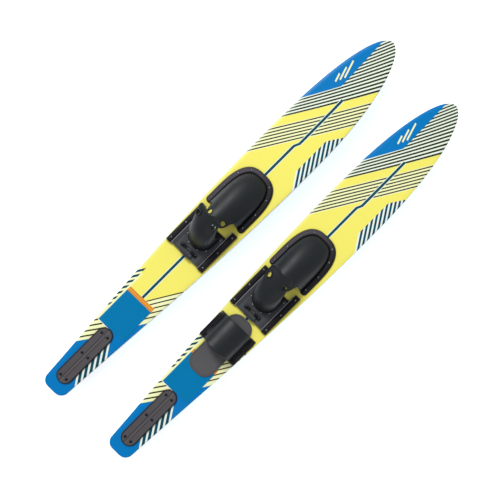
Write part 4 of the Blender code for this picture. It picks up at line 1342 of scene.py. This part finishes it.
for name in ("left", "right"):
    ski = Ski(name)
    board(ski, (board_material(ski), WALL, BASE, DARKER_LOWER_SIDE))
    traction_pad(ski, grip_material(ski))
    fin_plate(ski, fin_plate_material(ski))
    fin_screws(ski, DARK_STEEL)
    fin(ski, BLACK)
    toe_frame(ski, toe_frame_material(ski), BRIGHT)
    toe_boot(ski, SOFT)
    rail_plastic = rail_material(ski)
    for hand, sign in HANDS:
        rail(ski, hand, sign, rail_plastic, BRIGHT)
    heel_boot(ski, SOFT)
    heel_plastic = heel_plate_material(ski)
    heel_plate(ski, heel_plastic)
    rivets(ski, BRIGHT)
    lever(ski, heel_plastic)
    pin_and_spring(ski, BRIGHT)
    for node, surface in (("heel_slider", BLACK), ("lock_rack", DARK_STEEL)):
        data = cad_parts[f"{name}_{node}"].data
        data.materials.clear()
        data.materials.append(surface)
    if name == "right":
        rear_pad(ski, FOAM)
        rear_strap(ski, SOFT)
        for hand in ("left", "right"):
            rear_clamp(ski, hand, BLACK, DARK_STEEL)


# Floor, light and camera


def area_light(name, location, size, power):
    """A square white light that shines at the origin."""
    data = bpy.data.lights.new(name, "AREA")
    data.shape = "RECTANGLE"
    data.size = data.size_y = size
    data.energy = power
    obj = bpy.data.objects.new(name, data)
    bpy.context.scene.collection.objects.link(obj)
    obj.location = location
    obj.rotation_euler = (-Vector(location)).to_track_quat("-Z", "Y").to_euler()


def stage():
    made, _, shader = new_material("pale_floor")
    shader.inputs["Base Color"].default_value = (0.93, 0.93, 0.93, 1)
    shader.inputs["Roughness"].default_value = 0.9
    shader.inputs["Emission Color"].default_value = (1, 1, 1, 1)
    shader.inputs["Emission Strength"].default_value = 0.62
    bpy.ops.mesh.primitive_plane_add(size=40, location=(0, 0, cad_low.z - 0.001))
    floor = bpy.context.object
    floor.name = "floor"
    floor.data.materials.append(made)
    world = bpy.data.worlds.new("studio")
    bpy.context.scene.world = world
    world.use_nodes = True
    background = world.node_tree.nodes["Background"]
    background.inputs["Color"].default_value = (1, 1, 1, 1)
    background.inputs["Strength"].default_value = 0.52
    area_light("key", (-4.4, 2.0, 5.8), 2.2, 330)
    area_light("fill", (2.6, -1.8, 2.6), 2.5, 12)


def camera():
    """Above the pair, a little to the right ski's side, with the tips up and to the right.

    The lens looks off its axis, so its picture plane stays nearly level with the skis. A mount
    that shears the camera does this: a camera taken off its mount looks straight ahead.
    """
    eye = Vector((0.436, -0.241, 2.825))
    across, along, turn = math.radians(-1.93), math.radians(2.23), math.radians(44.42)
    back = Vector((math.tan(across), -math.tan(along), 1)).normalized()
    up = Vector((-math.sin(turn), math.cos(turn), 0))
    up = (up - back * up.dot(back)).normalized()
    right = up.cross(back)
    mount = bpy.data.objects.new("camera_mount", None)
    bpy.context.scene.collection.objects.link(mount)
    mount.matrix_world = Matrix.Translation(eye) @ Matrix((right, up, back)).transposed().to_4x4()
    shear = Matrix.Identity(4)
    shear[0][2] = 0.10957
    shear[1][2] = -0.16753
    data = bpy.data.cameras.new("camera")
    data.sensor_width = 36
    data.lens = 57.13
    obj = bpy.data.objects.new("camera", data)
    bpy.context.scene.collection.objects.link(obj)
    obj.parent = mount
    obj.matrix_parent_inverse = shear
    bpy.context.scene.camera = obj


stage()
camera()
bpy.context.scene.view_settings.view_transform = "Standard"
